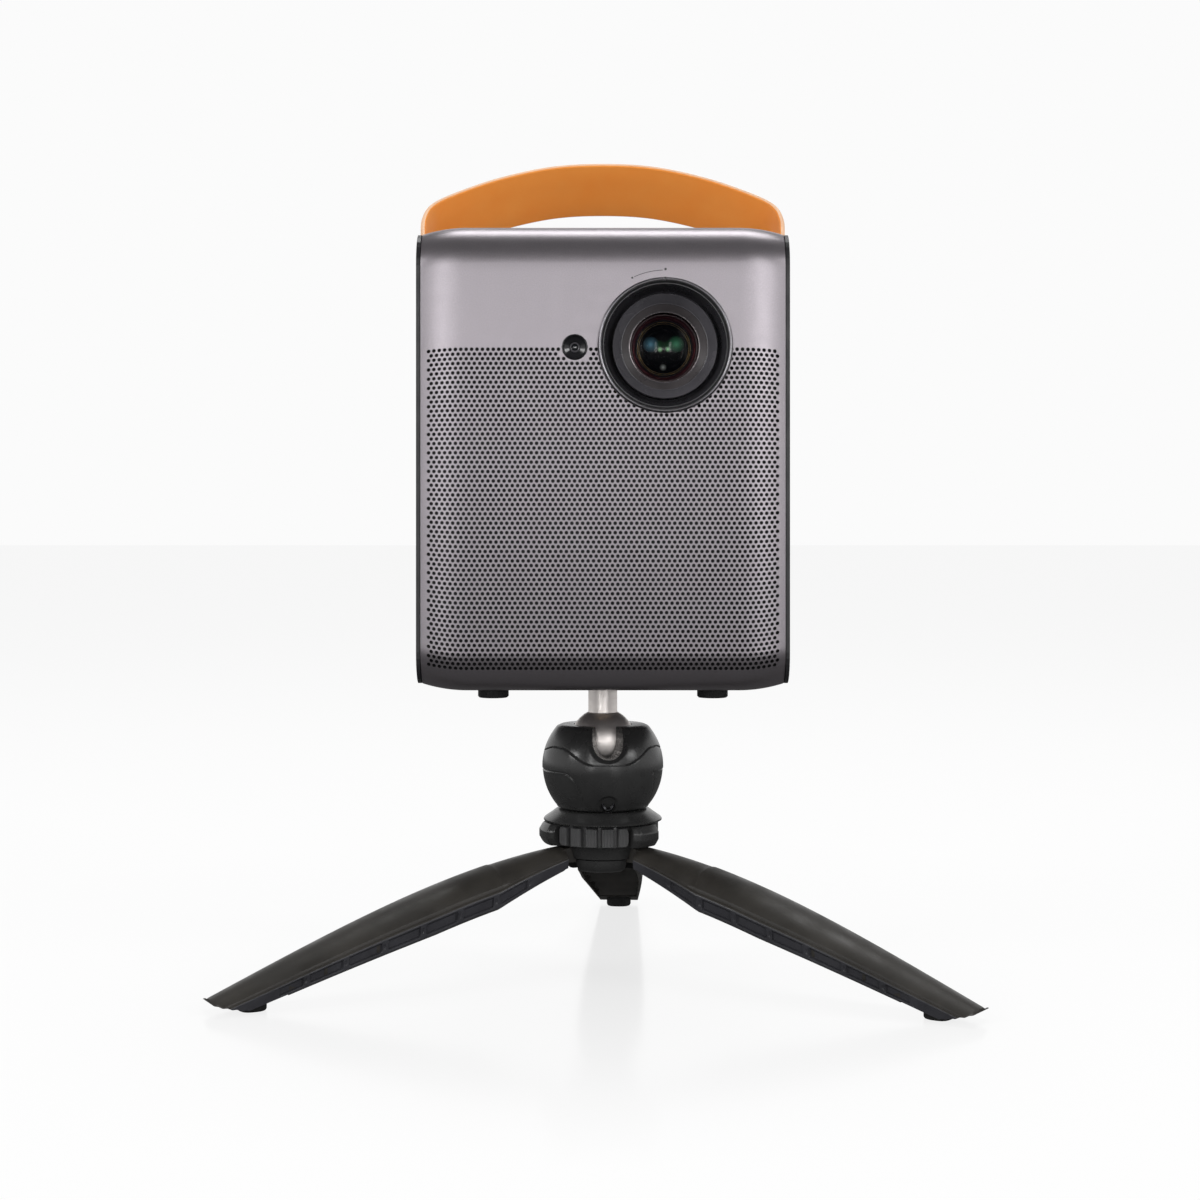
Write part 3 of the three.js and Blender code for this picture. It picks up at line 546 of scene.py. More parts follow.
UNDERSIDE_MIDDLE = 2 * STRAIGHT_Z + 3 * ARC + 1.5 * STRAIGHT_Y
BACK_START = STRAIGHT_Z + 2 * ARC + STRAIGHT_Y
PORT_LOW, PORT_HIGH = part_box("rear_panel")
PORT_HALF_X = (PORT_HIGH.x - PORT_LOW.x) / 2 / MM + 0.3
PORT_HALF_Z = (PORT_HIGH.z - PORT_LOW.z) / 2 / MM + 0.3
PORT_Z = ((PORT_HIGH.z + PORT_LOW.z) / 2 - PROJECTOR.z) / MM
PORT_CORNER = 6.0
# Each opening: its middle across and round the sleeve, half width, half height and corner radius.
OPENINGS = [
    (LENS[0], LENS[1] - CORNER, LENS_HOLE, LENS_HOLE, LENS_HOLE),
    (WINDOW[0], WINDOW[1] - CORNER, WINDOW_HOLE, WINDOW_HOLE, WINDOW_HOLE),
    (0.0, UNDERSIDE_MIDDLE, 8.8, 8.8, 8.8),
    (0.0, BACK_START + HEIGHT - CORNER - PORT_Z, PORT_HALF_X, PORT_HALF_Z, PORT_CORNER),
]


def opening_distance(x, s, opening):
    """Distance to an opening's rim (negative inside) and the nearest place on the rim."""
    cx, cs, half_x, half_s, radius = opening
    dx, ds = x - cx, s - cs
    sign_x = -1 if dx < 0 else 1
    sign_s = -1 if ds < 0 else 1
    qx = abs(dx) - (half_x - radius)
    qs = abs(ds) - (half_s - radius)
    if qx > 0 and qs > 0 or half_x == radius:
        length = max(math.hypot(qx, qs), 1e-6)
        rim_x = half_x - radius + qx / length * radius
        rim_s = half_s - radius + qs / length * radius
        return length - radius, cx + sign_x * rim_x, cs + sign_s * rim_s
    if qx > qs:
        return qx - radius, cx + sign_x * half_x, s
    return qs - radius, x, cs + sign_s * half_s


def clear_of_openings(x, s):
    """Moves a grid point that falls in an opening out to the opening's rim."""
    for opening in OPENINGS:
        distance, rim_x, rim_s = opening_distance(x, s, opening)
        if distance < 0:
            return rim_x, rim_s
    return x, s


def in_opening(x, s, margin):
    return any(opening_distance(x, s, opening)[0] < margin for opening in OPENINGS)


def sleeve_lines():
    """The grid's lines across (x) and round (s), and the index of the grille's first column and row."""
    half_width = (COLUMNS + 0.5) * PITCH / 2
    inner = [-half_width + i * PITCH / 2 for i in range(2 * COLUMNS + 2)]
    margin = [-SLEEVE_HALF, -SLEEVE_HALF + 0.35, -SLEEVE_HALF + 1.0]
    xs = margin + inner + [-m for m in reversed(margin)]
    top = GRILLE_TOP - CORNER
    rows = [top - ROWS * ROW + i * ROW for i in range(ROWS + 1)]
    band = [top + i * ROW for i in range(1, int((STRAIGHT_Z - top) / ROW))]
    rest = []
    s = STRAIGHT_Z
    end = PERIMETER + rows[0]
    stops = [STRAIGHT_Z, STRAIGHT_Z + ARC, STRAIGHT_Z + ARC + STRAIGHT_Y, STRAIGHT_Z + 2 * ARC + STRAIGHT_Y]
    stops += [stops[-1] + STRAIGHT_Z, stops[-1] + STRAIGHT_Z + ARC, PERIMETER - ARC, end]
    for low, high in zip(stops, stops[1:]):
        parts = max(8, round((high - low) / 1.9))
        rest += [low + (high - low) * i / parts for i in range(parts)]
    return xs, rows + band + rest, len(margin)


def build_sleeve():
    xs, ss, first_column = sleeve_lines()
    count_x, count_s = len(xs), len(ss)
    sections = {"sleeve_shell": (ROWS, count_s), "grille_lower": (0, 35), "grille_upper": (35, ROWS)}
    for name, (row_from, row_to) in sections.items():
        vertices = []
        index = {}

        def grid(ix, js, layer):
            js %= count_s
            key = (ix, js, layer)
            if key not in index:
                x, s = clear_of_openings(xs[ix], ss[js])
                index[key] = len(vertices)
                vertices.append(sleeve_point(x, s, SHEET * layer))
            return index[key]

        faces = []
        shade_painted_faces = set()

        def skin(corners, flip):
            unique = list(dict.fromkeys(corners))
            if len(unique) > 2:
                if flip:
                    shade_painted_faces.add(len(faces))
                faces.append(unique[::-1] if flip else unique)

        for js in range(row_from, row_to):
            columns = list(range(count_x - 1))
            if js < ROWS:
                offset = first_column + (js % 2)
                for column in range(COLUMNS):
                    ix = offset + 2 * column
                    x = xs[ix + 1]
                    s = (ss[js] + ss[js + 1]) / 2
                    if in_opening(x, s, HOLE_RADIUS + 0.25):
                        continue
                    columns.remove(ix)
                    columns.remove(ix + 1)
                    pierce(vertices, faces, shade_painted_faces, grid, ix, js, x, s)
            for ix in columns:
                x = (xs[ix] + xs[ix + 1]) / 2
                s = (ss[js] + ss[(js + 1) % count_s]) / 2 if js + 1 < count_s else ss[js]
                if in_opening(x, s, -0.9):
                    continue
                for layer in (0, 1):
                    corners = [grid(ix, js, layer), grid(ix + 1, js, layer)]
                    corners += [grid(ix + 1, js + 1, layer), grid(ix, js + 1, layer)]
                    skin(corners, layer == 1)
            for ix, flip in ((0, True), (count_x - 1, False)):
                corners = [grid(ix, js, 0), grid(ix, js, 1), grid(ix, js + 1, 1), grid(ix, js + 1, 0)]
                skin(corners, flip)
        obj = new_object(name, vertices, faces, M["sleeve"], 28)
        # The sleeve's inner side and the walls of its holes take near-black: painted shade where the metal
        # lies in shadow.
        obj.data.materials.append(M["core"])
        dark = [1 if face in shade_painted_faces else 0 for face in range(len(faces))]
        obj.data.polygons.foreach_set("material_index", dark)
        replaced = ("sleeve",) if name == "sleeve_shell" else ()
        place(obj, "projector", replaced)


def pierce(vertices, faces, shade_painted_faces, grid, ix, js, x, s):
    """One grille cell: six rim vertices on the grid round a hole with straight walls."""
    rings = []
    for layer in (0, 1):
        rim = [grid(ix, js, layer), grid(ix + 1, js, layer), grid(ix + 2, js, layer)]
        rim += [grid(ix + 2, js + 1, layer), grid(ix + 1, js + 1, layer), grid(ix, js + 1, layer)]
        ring = []
        for k in range(HOLE_SIDES):
            angle = -math.pi * 0.875 + 2 * math.pi * k / HOLE_SIDES
            ring.append(len(vertices))
            hole_x = x + HOLE_RADIUS * math.cos(angle)
            hole_s = s + HOLE_RADIUS * math.sin(angle)
            vertices.append(sleeve_point(hole_x, hole_s, SHEET * layer))
        rings.append(ring)
        # Ring vertex numbers that each rim vertex meets, in order round the cell.
        meets = [(0,), (1, 2), (3,), (4,), (5, 6), (7,)]
        for r, own in enumerate(meets):
            following = meets[(r + 1) % 6][0]
            fan = [rim[r], rim[(r + 1) % 6], ring[following], ring[own[-1]]]
            if layer:
                shade_painted_faces.update((len(faces), len(faces) + len(own) - 1))
            faces.append(fan[::-1] if layer else fan)
            if len(own) == 2:
                corner = [rim[r], ring[own[1]], ring[own[0]]]
                faces.append(corner[::-1] if layer else corner)
    outer, inner = rings
    # The hole's walls join the near-black faces: painted shade.
    for k in range(HOLE_SIDES):
        n = (k + 1) % HOLE_SIDES
        shade_painted_faces.add(len(faces))
        faces.append([outer[k], outer[n], inner[n], inner[k]])


def build_backing():
    """The thin black membrane behind the grille, bent as the sleeve is, open behind the lens and window."""
    columns = 45
    rows = 56
    low = -CORNER * math.pi * 0.4
    high = GRILLE_TOP - CORNER + 1.2
    vertices = []
    for layer in (SHEET + 0.25, SHEET + 0.45):
        for j in range(rows + 1):
            for i in range(columns + 1):
                x = -71.6 + 143.2 * i / columns
                s = low + (high - low) * j / rows
                vertices.append(sleeve_point(x, s, layer))
    filled = set()
    for j in range(rows):
        for i in range(columns):
            x = -71.6 + 143.2 * (i + 0.5) / columns
            s = low + (high - low) * (j + 0.5) / rows
            if not in_opening(x, s, 2.4):
                filled.add((i, j))
    faces = sheet_faces(filled, columns + 1, len(vertices) // 2)
    obj = new_object("grille_backing", vertices, faces, M["mesh"])
    place(obj, "projector")


# ---------------------------------------------------------------- lens and camera window
LENS_ORIGIN = Vector((PROJECTOR.x + LENS[0] * MM, SLEEVE_LOW.y, PROJECTOR.z + LENS[1] * MM))
WINDOW_ORIGIN = Vector((PROJECTOR.x + WINDOW[0] * MM, SLEEVE_LOW.y, PROJECTOR.z + WINDOW[1] * MM))


def rounded(points, radius, steps=4):
    """Rounds every corner of a closed [radius, height] outline that has room for it."""
    result = []
    count = len(points)
    for i, point in enumerate(points):
        here = Vector(point)
        before = Vector(points[i - 1]) - here
        after = Vector(points[(i + 1) % count]) - here
        reach = min(radius, before.length * 0.45, after.length * 0.45)
        if reach < 1e-4 or here.x < 1e-4:
            result.append(here)
            continue
        start = here + before.normalized() * reach
        end = here + after.normalized() * reach
        for k in range(steps + 1):
            t = k / steps
            result.append(start * (1 - t) ** 2 + here * 2 * t * (1 - t) + end * t * t)
    return result


def dome(radius, height, bulge, steps=14):
    """Points of a lens face from its middle (bulging towards the front) to its rim."""
    points = []
    for k in range(steps + 1):
        r = radius * math.sin(math.pi / 2 * k / steps)
        points.append((r, height - bulge * (1 - (r / radius) ** 2)))
    return points


def lens_piece(name, profile, material, body="projector", replaces=(), origin=LENS_ORIGIN,
               segments=128):
    obj = lathe(name, profile, material, segments, "y", origin)
    return place(obj, body, replaces)


def build_lens():
    bezel = [(27.1, 3.0), (27.1, -1.6), (26.4, -2.6), (25.7, -2.3), (24.7, 0.4), (24.7, 3.0)]
    lens_piece("lens_bezel", rounded(bezel, 0.5), M["ring"], "lens_ring", ("lens_ring",))
    tick = [(-0.28, -0.02), (0.28, -0.02), (0.28, 1.35), (-0.28, 1.35)]
    tick_at = LENS_ORIGIN + Vector((0, -2.62, 25.72)) * MM
    plate("lens_tick", tick, 0.12, tick_at, M["gloss"], "lens_ring")

    # The hood is a black funnel whose wall is hollow like a saucer.
    hood = [(24.4, 0.4)]
    for k in range(13):
        t = k / 12
        hood.append((24.4 - 2.8 * t, 0.4 + 8.2 * math.sin(math.pi / 2 * t) ** 1.2))
    hood = [(25.15, 9.0), (25.15, 0.9), (24.9, -0.5), (24.55, -0.5)] + hood + [(21.6, 9.0)]
    lens_piece("lens_funnel", hood, M["hood"], replaces=("lens_hood",))

    barrel = [(21.2, 48.0), (21.2, 5.0), (20.8, 4.5), (17.6, 9.2), (17.3, 9.2), (17.3, 10.0), (14.6, 12.3)]
    barrel += [(14.3, 12.3), (14.3, 16.4), (15.0, 16.8), (15.0, 48.0)]
    lens_piece("lens_tube", rounded(barrel, 0.25, 2), M["barrel"], replaces=("lens_barrel",))
    step = [(17.25, 9.75), (14.65, 11.95), (14.6, 12.2), (17.25, 10.0)]
    lens_piece("lens_step", step, M["barrel_dark"])
    edge_ring("lens_edge_outer", 17.45, 9.35, 0.12, M["barrel_dark"])
    edge_ring("lens_edge_bright", 14.2, 12.2, 0.16, M["bright"])

    retainer = [(13.9, 26), (13.9, 17), (13.2, 17), (12.5, 18), (12.4, 18.6), (11.6, 19.6), (11.5, 26)]
    retainer = rounded(retainer, 0.2, 2)
    lens_piece("lens_retainer", retainer, M["maroon"], replaces=("element_retainer",))
    seat = [(11.45, 26), (11.45, 19.9), (10.9, 20.6), (10.8, 21.2), (10.2, 21.9), (10, 22.4), (10, 26)]
    lens_piece("lens_seat", rounded(seat, 0.12, 2), M["gloss"])
    lines = [(12.45, 18.0, "maroon_edge"), (10.85, 20.7, "gold"), (10.2, 21.8, "gold")]
    for k, (radius, depth, metal) in enumerate(lines):
        edge_ring("retainer_line_%d" % k, radius, depth, 0.07, M[metal])

    glass = dome(9.85, 22.8, 3.4) + [(9.85, 24.4), (0, 24.4)]
    # The inner element's blue and green glints are painted reflections in its colour.
    lens_piece("lens_glass", glass, M["coated"], replaces=("inner_element",), segments=96)
    window = dome(13.85, 16.4, 2.2) + [(13.85, 16.75)]
    window += [(r, h + 0.5) for r, h in reversed(dome(13.6, 16.3, 2.2))]
    lens_piece("lens_front_glass", window, M["clear"], replaces=("front_element",), segments=96)


def edge_ring(name, radius, height, thick, material):
    """A fine raised ring of round section."""
    section = []
    for k in range(8):
        angle = 2 * math.pi * k / 8
        section.append((radius + thick * math.cos(angle), height + thick * math.sin(angle)))
    return lens_piece(name, section, material)


def plate(name, outline, thick, at, material, body):
    """A thin flat shape facing the front: outline in (x, z) millimetres, face at the origin."""
    count = len(outline)
    vertices = [Vector((x, depth, z)) * MM + at for depth in (0.0, thick) for x, z in outline]
    obj = new_object(name, vertices, prism_faces(count), material)
    fix_normals(obj)
    return place(obj, body)


def build_camera_window():
    at = WINDOW_ORIGIN
    rim = [(5.1, 4.0), (5.1, -0.5), (4.75, -0.75), (4.35, -0.2), (4.25, 0.5), (4.25, 4.0)]
    rim = rounded(rim, 0.2, 3)
    lens_piece("window_rim", rim, M["gloss"], "projector", ("camera_window",), at, 72)
    cone = [(4.2, 0.5), (2.2, 1.6), (2.2, 3.9), (4.2, 3.9)]
    lens_piece("window_cone", cone, M["gloss"], origin=at, segments=64)
    ring = [(2.1, 1.5), (1.75, 1.2), (1.35, 1.5), (1.35, 3.6), (2.1, 3.6)]
    lens_piece("window_ring", rounded(ring, 0.12, 2), M["barrel"], origin=at, segments=48)
    glass = dome(1.3, 2.3, 0.6, 8) + [(1.3, 3.0), (0, 3.0)]
    lens_piece("window_glass", glass, M["glass"], origin=at, segments=40)


MARK_RADIUS = 30.0
MARK_FROM = 92.0
MARK_TO = 114.5


def build_mark():
    """A generic printed mark over the lens: a dot, a fine arc and a smaller dot."""
    def on_circle(radius, degrees):
        angle = math.radians(degrees)
        return radius * math.cos(angle), radius * math.sin(angle)

    at = LENS_ORIGIN + Vector((0, -0.04, 0)) * MM
    inner = []
    outer = []
    for k in range(25):
        degrees = MARK_FROM + (MARK_TO - MARK_FROM) * k / 24
        inner.append(on_circle(MARK_RADIUS - 0.12, degrees))
        outer.append(on_circle(MARK_RADIUS + 0.12, degrees))
    vertices = [Vector((x, 0, z)) * MM + at for x, z in inner + outer]
    vertices += [Vector((x, 0.06, z)) * MM + at for x, z in inner + outer]
    faces = []
    for k in range(24):
        faces.append([k, k + 1, k + 26, k + 25])
        faces.append([k + 51, k + 50, k + 75, k + 76])
        faces.append([k, k + 50, k + 51, k + 1])
        faces.append([k + 26, k + 76, k + 75, k + 25])
    faces += [[0, 25, 75, 50], [24, 74, 99, 49]]
    mark = new_object("mark_arc", vertices, faces, M["mark"])
    fix_normals(mark)
    place(mark, "projector")
    dots = (("mark_dot_a", MARK_TO + 1.6, 0.42, 0), ("mark_dot_b", 89.8, 0.5, 0.4))
    for name, degrees, radius, lift in dots:
        x, z = on_circle(MARK_RADIUS + lift, degrees)
        dot = [(x + on_circle(radius, 20 * k)[0], z + on_circle(radius, 20 * k)[1]) for k in range(18)]
        plate(name, dot, 0.06, at, M["mark"], "projector")


# ---------------------------------------------------------------- tripod head
HEAD = {"bottom": 71.6, "top": 107.3, "waist": 89.5, "radius": 26.2, "end": 19.2}
BALL = {"z": 99.8, "radius": 14.3}
STEM_SHOULDER = 126.7
SLOT_TURN = math.radians(6)
SLOT_HALF = 6.85
SLOT_Z = 101.2
LEG_TURNS = {"left": 207, "right": 327, "rear": 87}


def head_radius(z):
    """The housing's outside: an arc through the waist between two equal end radii."""
    half = HEAD["waist"] - HEAD["bottom"] if z < HEAD["waist"] else HEAD["top"] - HEAD["waist"]
    t = (z - HEAD["waist"]) / half
    least = math.sqrt(1 - 0.68 ** 2)
    swell = math.sqrt(max(0.0, 1 - (0.68 * t) ** 2))
    return HEAD["end"] + (HEAD["radius"] - HEAD["end"]) * (swell - least) / (1 - least)


def smooth_step(edge0, edge1, x):
    t = min(1.0, max(0.0, (x - edge0) / (edge1 - edge0)))
    return t * t * (3 - 2 * t)


GROOVE_HALF = 0.36
GROOVE_DEEP = 0.5


def groove_depth(distance):
    return GROOVE_DEEP * (1 - smooth_step(GROOVE_HALF * 0.3, GROOVE_HALF, abs(distance)))


def brow_line(angle):
    """Height of the contour groove that dips under the slot, by angle from the slot (degrees)."""
    a = abs(angle)
    if a > 96:
        return None
    return 92.2 + 6.6 * smooth_step(15, 52, a) - 2.6 * smooth_step(60, 96, a)


def panel_distance(angle, z):
    """Distance (mm) from the outline of a thumb panel, negative inside the panel."""
    if angle < 0:
        across = (46 + angle) / 19.0 if angle > -46 else 0.0
        rise = max(0.0, z - 73.0) / 15.3
        return (math.hypot(across, rise) - 1) * 10.5
    front = 50.0 + 9.0 * (88.3 - z) / 15.0
    return max((front - angle) * 0.42, z - 88.3)


def head_relief(angle, z):
    """How deep the housing's surface is cut at an angle from the slot (degrees) and a height."""
    depth = 0.0
    brow = brow_line(angle)
    if brow is not None:
        depth = max(depth, groove_depth(z - brow))
    if abs(angle) < 128 and z > 72.4:
        outside = panel_distance(angle, z)
        depth = max(depth, groove_depth(outside), 0.2 * smooth_step(0.1, 0.7, -outside))
    # A scoop round the index screw.
    arc = math.hypot(math.radians(angle) * 21, z - 75.0)
    if arc < 4.2:
        depth = max(depth, 1.2 * (1 - smooth_step(3.3, 4.2, arc)))
    return depth


def slot_edge(angle, z):
    """Distance (mm) outside the slot's rim, on the housing's front, negative within the slot."""
    x = math.sin(math.radians(angle)) * head_radius(z)
    if abs(angle) > 90:
        return 99.0
    if z > SLOT_Z:
        return abs(x) - SLOT_HALF
    return math.hypot(x, z - SLOT_Z) - SLOT_HALF


def build_housing():
    columns = 324
    rows = 150
    low, high = HEAD["bottom"], HEAD["top"]
    vertices = []

    def corner(i, j):
        angle = -180 + 360 * (i % columns) / columns
        z = low + (high - low) * j / rows
        radius = head_radius(z) - head_relief(angle, z)
        outside = slot_edge(angle, z)
        if 0 <= outside < 1.5:
            radius -= 1.3 * (1 - smooth_step(0.0, 1.5, outside))
        radius -= 0.9 * smooth_step(high - 1.0, high, z) ** 2
        radius -= 0.6 * (1 - smooth_step(low, low + 0.8, z)) ** 2
        return angle, z, radius

    # Points just inside the slot's rim are drawn onto it, so that the slot has a clean edge.
    for j in range(rows + 1):
        for i in range(columns):
            angle, z, radius = corner(i, j)
            outside = slot_edge(angle, z)
            if -0.45 < outside < 0.0 and abs(angle) < 90:
                if z > SLOT_Z:
                    sign = 1 if angle > 0 else -1
                    angle = math.degrees(math.asin(sign * SLOT_HALF / head_radius(z)))
                else:
                    x = math.sin(math.radians(angle)) * head_radius(z)
                    dz = z - SLOT_Z
                    k = SLOT_HALF / math.hypot(x, dz)
                    z = SLOT_Z + dz * k
                    angle = math.degrees(math.asin(x * k / head_radius(z)))
                radius = head_radius(z) - 1.3
            a = math.radians(angle) + SLOT_TURN
            vertices.append(at_tripod(math.sin(a) * radius, -math.cos(a) * radius, z))
    kept = set()
    for j in range(rows):
        for i in range(columns):
            angle = -180 + 360 * (i + 0.5) / columns
            z = low + (high - low) * (j + 0.5) / rows
            if slot_edge(angle, z) > -0.02:
                kept.add((i, j))
    # The inner wall follows the ball's cavity; below it the wall is straight.
    for j in range(rows + 1):
        z = low + (high - low) * j / rows
        for i in range(columns):
            cavity = BALL["radius"] + 0.35
            if z > BALL["z"]:
                inner = max(12.6, math.sqrt(max(0.0, cavity ** 2 - (z - BALL["z"]) ** 2)))
            else:
                inner = cavity
            v = (vertices[j * columns + i] - at_tripod(0, 0, z)) / MM
            flat = Vector((v.x, v.y, 0)).normalized() * inner
            vertices.append(at_tripod(flat.x, flat.y, vertices[j * columns + i].z / MM))
    faces = sheet_faces(kept, columns, len(vertices) // 2)
    obj = new_object("head_housing", vertices, faces, M["head"], 0)
    fix_normals(obj)
    smooth(obj, 50)
    place(obj, "ball_head", ("ball_housing",))


def build_index_screw():
    at = at_tripod(0, 0, HEAD["bottom"] + 3.4)
    profile = [(0, -19.0), (1.2, -19.0), (1.35, -20.6), (2.3, -21.1), (2.9, -20.7), (2.95, -17), (0, -17)]
    profile = rounded(profile, 0.15, 2)
    obj = lathe("index_screw_head", profile, M["black_steel"], 64, "y", closed=False)
    turn = Matrix.Translation(at) @ Matrix.Rotation(SLOT_TURN, 4, "Z")
    obj.data.transform(turn)
    place(obj, "ball_head", ("index_screw",))


def build_ball():
    """The polished ball with its neck and the threaded post that rises into the projector."""
    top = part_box("ball_stem")[1].z / MM
    neck = BALL["z"] + math.sqrt(BALL["radius"] ** 2 - 6.4 ** 2)
    sphere = []
    for k in range(41):
        angle = math.radians(-90 + 90 * k / 20)
        if k > 20:
            angle = math.asin((k - 20) / 20 * (neck - BALL["z"]) / BALL["radius"])
        sphere.append((BALL["radius"] * math.cos(angle), BALL["z"] + BALL["radius"] * math.sin(angle)))
    stem = [(6.25, neck + 0.7), (6.25, STEM_SHOULDER - 0.3), (5.95, STEM_SHOULDER)]
    stud = [(3.0, STEM_SHOULDER)]
    pitch = 1.27
    z = STEM_SHOULDER + 0.8
    while z + pitch < top - 0.4:
        stud += [(3.12, z), (2.55, z + pitch / 2)]
        z += pitch
    stud += [(3.0, top - 0.4), (2.5, top), (0, top)]
    profile = sphere + stem + stud
    obj = lathe("ball_and_stem", profile, M["satin_steel"], 96, "z", FLOOR_UNDER_HUB, closed=False)
    place(obj, "ball", ("ball_stem",))


# ---------------------------------------------------------------- tripod base
RING = {"bottom": 56.6, "top": 65.7, "bore": 16.3, "radius": 23.6, "ear": 27.6}
RING_TURN = -9.0
EAR_HALF = 18.0
PANEL_HALF = 41.0
RIB_PITCH = 17.0


def ring_radius(angle, z):
    """The lock ring's outside at an angle from the middle of one of its three ears (degrees)."""
    middle = (RING["bottom"] + RING["top"]) / 2
    half = (RING["top"] - RING["bottom"]) / 2
    rise = abs(z - middle) / half
    rim = 0.7 * smooth_step(0.86, 1.0, rise)
    if abs(angle) < EAR_HALF:
        bevel = 2.7 * max(0.0, rise - 0.34)
        side = 2.2 * smooth_step(EAR_HALF - 6.5, EAR_HALF, abs(angle))
        return RING["ear"] - bevel - side - rim * 0.4
    across = 60 - abs(angle)
    if across > PANEL_HALF - 5.5 * max(0.0, rise - 0.2) or rise > 0.93:
        return RING["radius"] - 1.3 - rim
    # Broad ribs with narrow grooves between them, and a fine knurl on each rib.
    from_rib = abs((across / RIB_PITCH + 0.5) % 1.0 - 0.5)
    rib = 1 - smooth_step(0.33, 0.4, from_rib)
    knurl = 0.2 * abs(((angle * 1.2) % 2.0) - 1.0)
    return RING["radius"] - 1.7 + (1.9 + knurl) * rib


def build_lock_ring():
    columns = 540
    z_steps = 16
    low, high = RING["bottom"], RING["top"]
    levels = [low, low + 0.25]
    levels += [low + 0.25 + (high - low - 0.5) * k / z_steps for k in range(1, z_steps)]
    levels += [high - 0.25, high]
    vertices = []
    for z in levels:
        for i in range(columns):
            turn = 360 * i / columns
            angle = (turn + 60) % 120 - 60
            radius = ring_radius(angle, z)
            a = math.radians(turn + LEG_TURNS["rear"] + RING_TURN)
            vertices.append(at_tripod(radius * math.cos(a), radius * math.sin(a), z))
    rows = len(levels)
    for z in (high, low):
        for i in range(columns):
            a = math.radians(360 * i / columns + LEG_TURNS["rear"] + RING_TURN)
            vertices.append(at_tripod(RING["bore"] * math.cos(a), RING["bore"] * math.sin(a), z))
    faces = []
    lighter_rib_panels = []
    order = list(range(rows + 2)) + [0]
    for low_row, high_row in zip(order, order[1:]):
        for i in range(columns):
            n = (i + 1) % columns
            low_at, high_at = low_row * columns, high_row * columns
            faces.append([low_at + i, low_at + n, high_at + n, high_at + i])
            across = 60 - abs((360 * i / columns + 60) % 120 - 60)
            lighter_rib_panels.append(1 if across < PANEL_HALF - 2 and 0 < low_row < rows - 2 else 0)
    obj = new_object("lock_ring_grip", vertices, faces, M["head"], 0)
    # The ribbed panels between the ears, short of the rims, take the lighter grey plastic.
    obj.data.materials.append(M["grip"])
    obj.data.polygons.foreach_set("material_index", lighter_rib_panels)
    fix_normals(obj)
    smooth(obj, 32)
    place(obj, "lock_ring", ("lock_ring",))


def build_skirt():
    profile = [(16.3, 66.05), (24.4, 66.05), (25.35, 66.5), (25.4, 66.9), (25.15, 67.25)]
    profile += [(23.8, 68.2), (22.2, 69.3), (20.8, 70.35), (19.8, 71.0), (19.0, 71.2), (16.3, 71.2)]
    obj = lathe("head_skirt", profile, M["head"], 144, "z", FLOOR_UNDER_HUB)
    place(obj, "hub", ("skirt",))
    beads = []
    faces = []
    count = 150
    for i in range(count):
        a = 2 * math.pi * i / count
        for da in (-0.35, 0.35):
            angle = a + da * 2 * math.pi / count
            for radius, z in ((25.0, 66.2), (25.55, 66.3), (25.55, 66.75), (25.0, 66.85)):
                beads.append(at_tripod(radius * math.cos(angle), radius * math.sin(angle), z))
        b = 8 * i
        faces += [[b, b + 1, b + 2, b + 3], [b + 7, b + 6, b + 5, b + 4]]
        faces += [[b + k, b + 4 + k, b + 4 + (k + 1) % 4, b + (k + 1) % 4] for k in range(4)]
    knurl = new_object("skirt_knurl", beads, faces, M["head"])
    fix_normals(knurl)
    place(knurl, "hub")


# The space that a leg's knuckle turns in, in metres out along the leg, across it and up.
KNUCKLE_SLOT_SIZE = (0.0325, 0.0104, 0.0165)
KNUCKLE_SLOT_MIDDLE = (0.02375, 0, 0.04825)


def slotted(name, profile, body, replaces):
    """A turned piece with a slot for each leg's knuckle."""
    obj = lathe(name, profile, M["head"], 120, "z", FLOOR_UNDER_HUB)
    for side, degrees in LEG_TURNS.items():
        bm = bmesh.new()
        bmesh.ops.create_cube(bm, size=1.0)
        size = Matrix.Diagonal((*KNUCKLE_SLOT_SIZE, 1))
        bm.transform(Matrix.Translation(KNUCKLE_SLOT_MIDDLE) @ size)
        bm.transform(Matrix.Translation(FLOOR_UNDER_HUB) @ Matrix.Rotation(math.radians(degrees), 4, "Z"))
        mesh = bpy.data.meshes.new("slot_tool")
        bm.to_mesh(mesh)
        bm.free()
        tool = bpy.data.objects.new("slot_tool", mesh)
        bpy.context.scene.collection.objects.link(tool)
        cut = obj.modifiers.new("slot_" + side, "BOOLEAN")
        cut.operation = "DIFFERENCE"
        cut.solver = "EXACT"
        cut.object = tool
        bake_modifiers(obj)
        bpy.data.objects.remove(tool)
    smooth(obj, 32)
    return place(obj, body, replaces)


def bake_modifiers(obj):
    depsgraph = bpy.context.evaluated_depsgraph_get()
    mesh = bpy.data.meshes.new_from_object(obj.evaluated_get(depsgraph))
    obj.modifiers.clear()
    obj.data = mesh


def build_hub():
    cone = [(0, 50.7), (16.6, 50.7), (17.2, 51.0), (17.9, 53.4), (18.7, 55.9), (18.5, 56.3), (15.9, 56.3)]
    cone += [(15.9, 71.3), (0, 71.3)]
    slotted("base_cone", cone, "hub", ("base_hub",))
    cap = [(0, 45), (12.8, 45), (14.2, 45.4), (15.4, 46.4), (16.1, 48.2), (16.3, 50.4), (0, 50.4)]
    slotted("base_cap", cap, "hub", ("base_plate",))


# ---------------------------------------------------------------- carrying strap
STRAP_PIVOT_Z = 163.0
STRAP_HALF = 14.3
STRAP_THICK = 2.2
STRAP_LEAN = math.radians(-46)
STRAP_END = -12.5
STRAP_TOP = 82.0
# Half of the strap's middle line: across, and distance from its pivot.
STRAP_LINE = [(76.6, STRAP_END), (76.7, 5), (77.8, 18), (78.9, 31), (78.9, 42), (75.6, 51.5)]
STRAP_LINE += [(65.4, 60.2), (46, 71.5), (23, 79.8)]


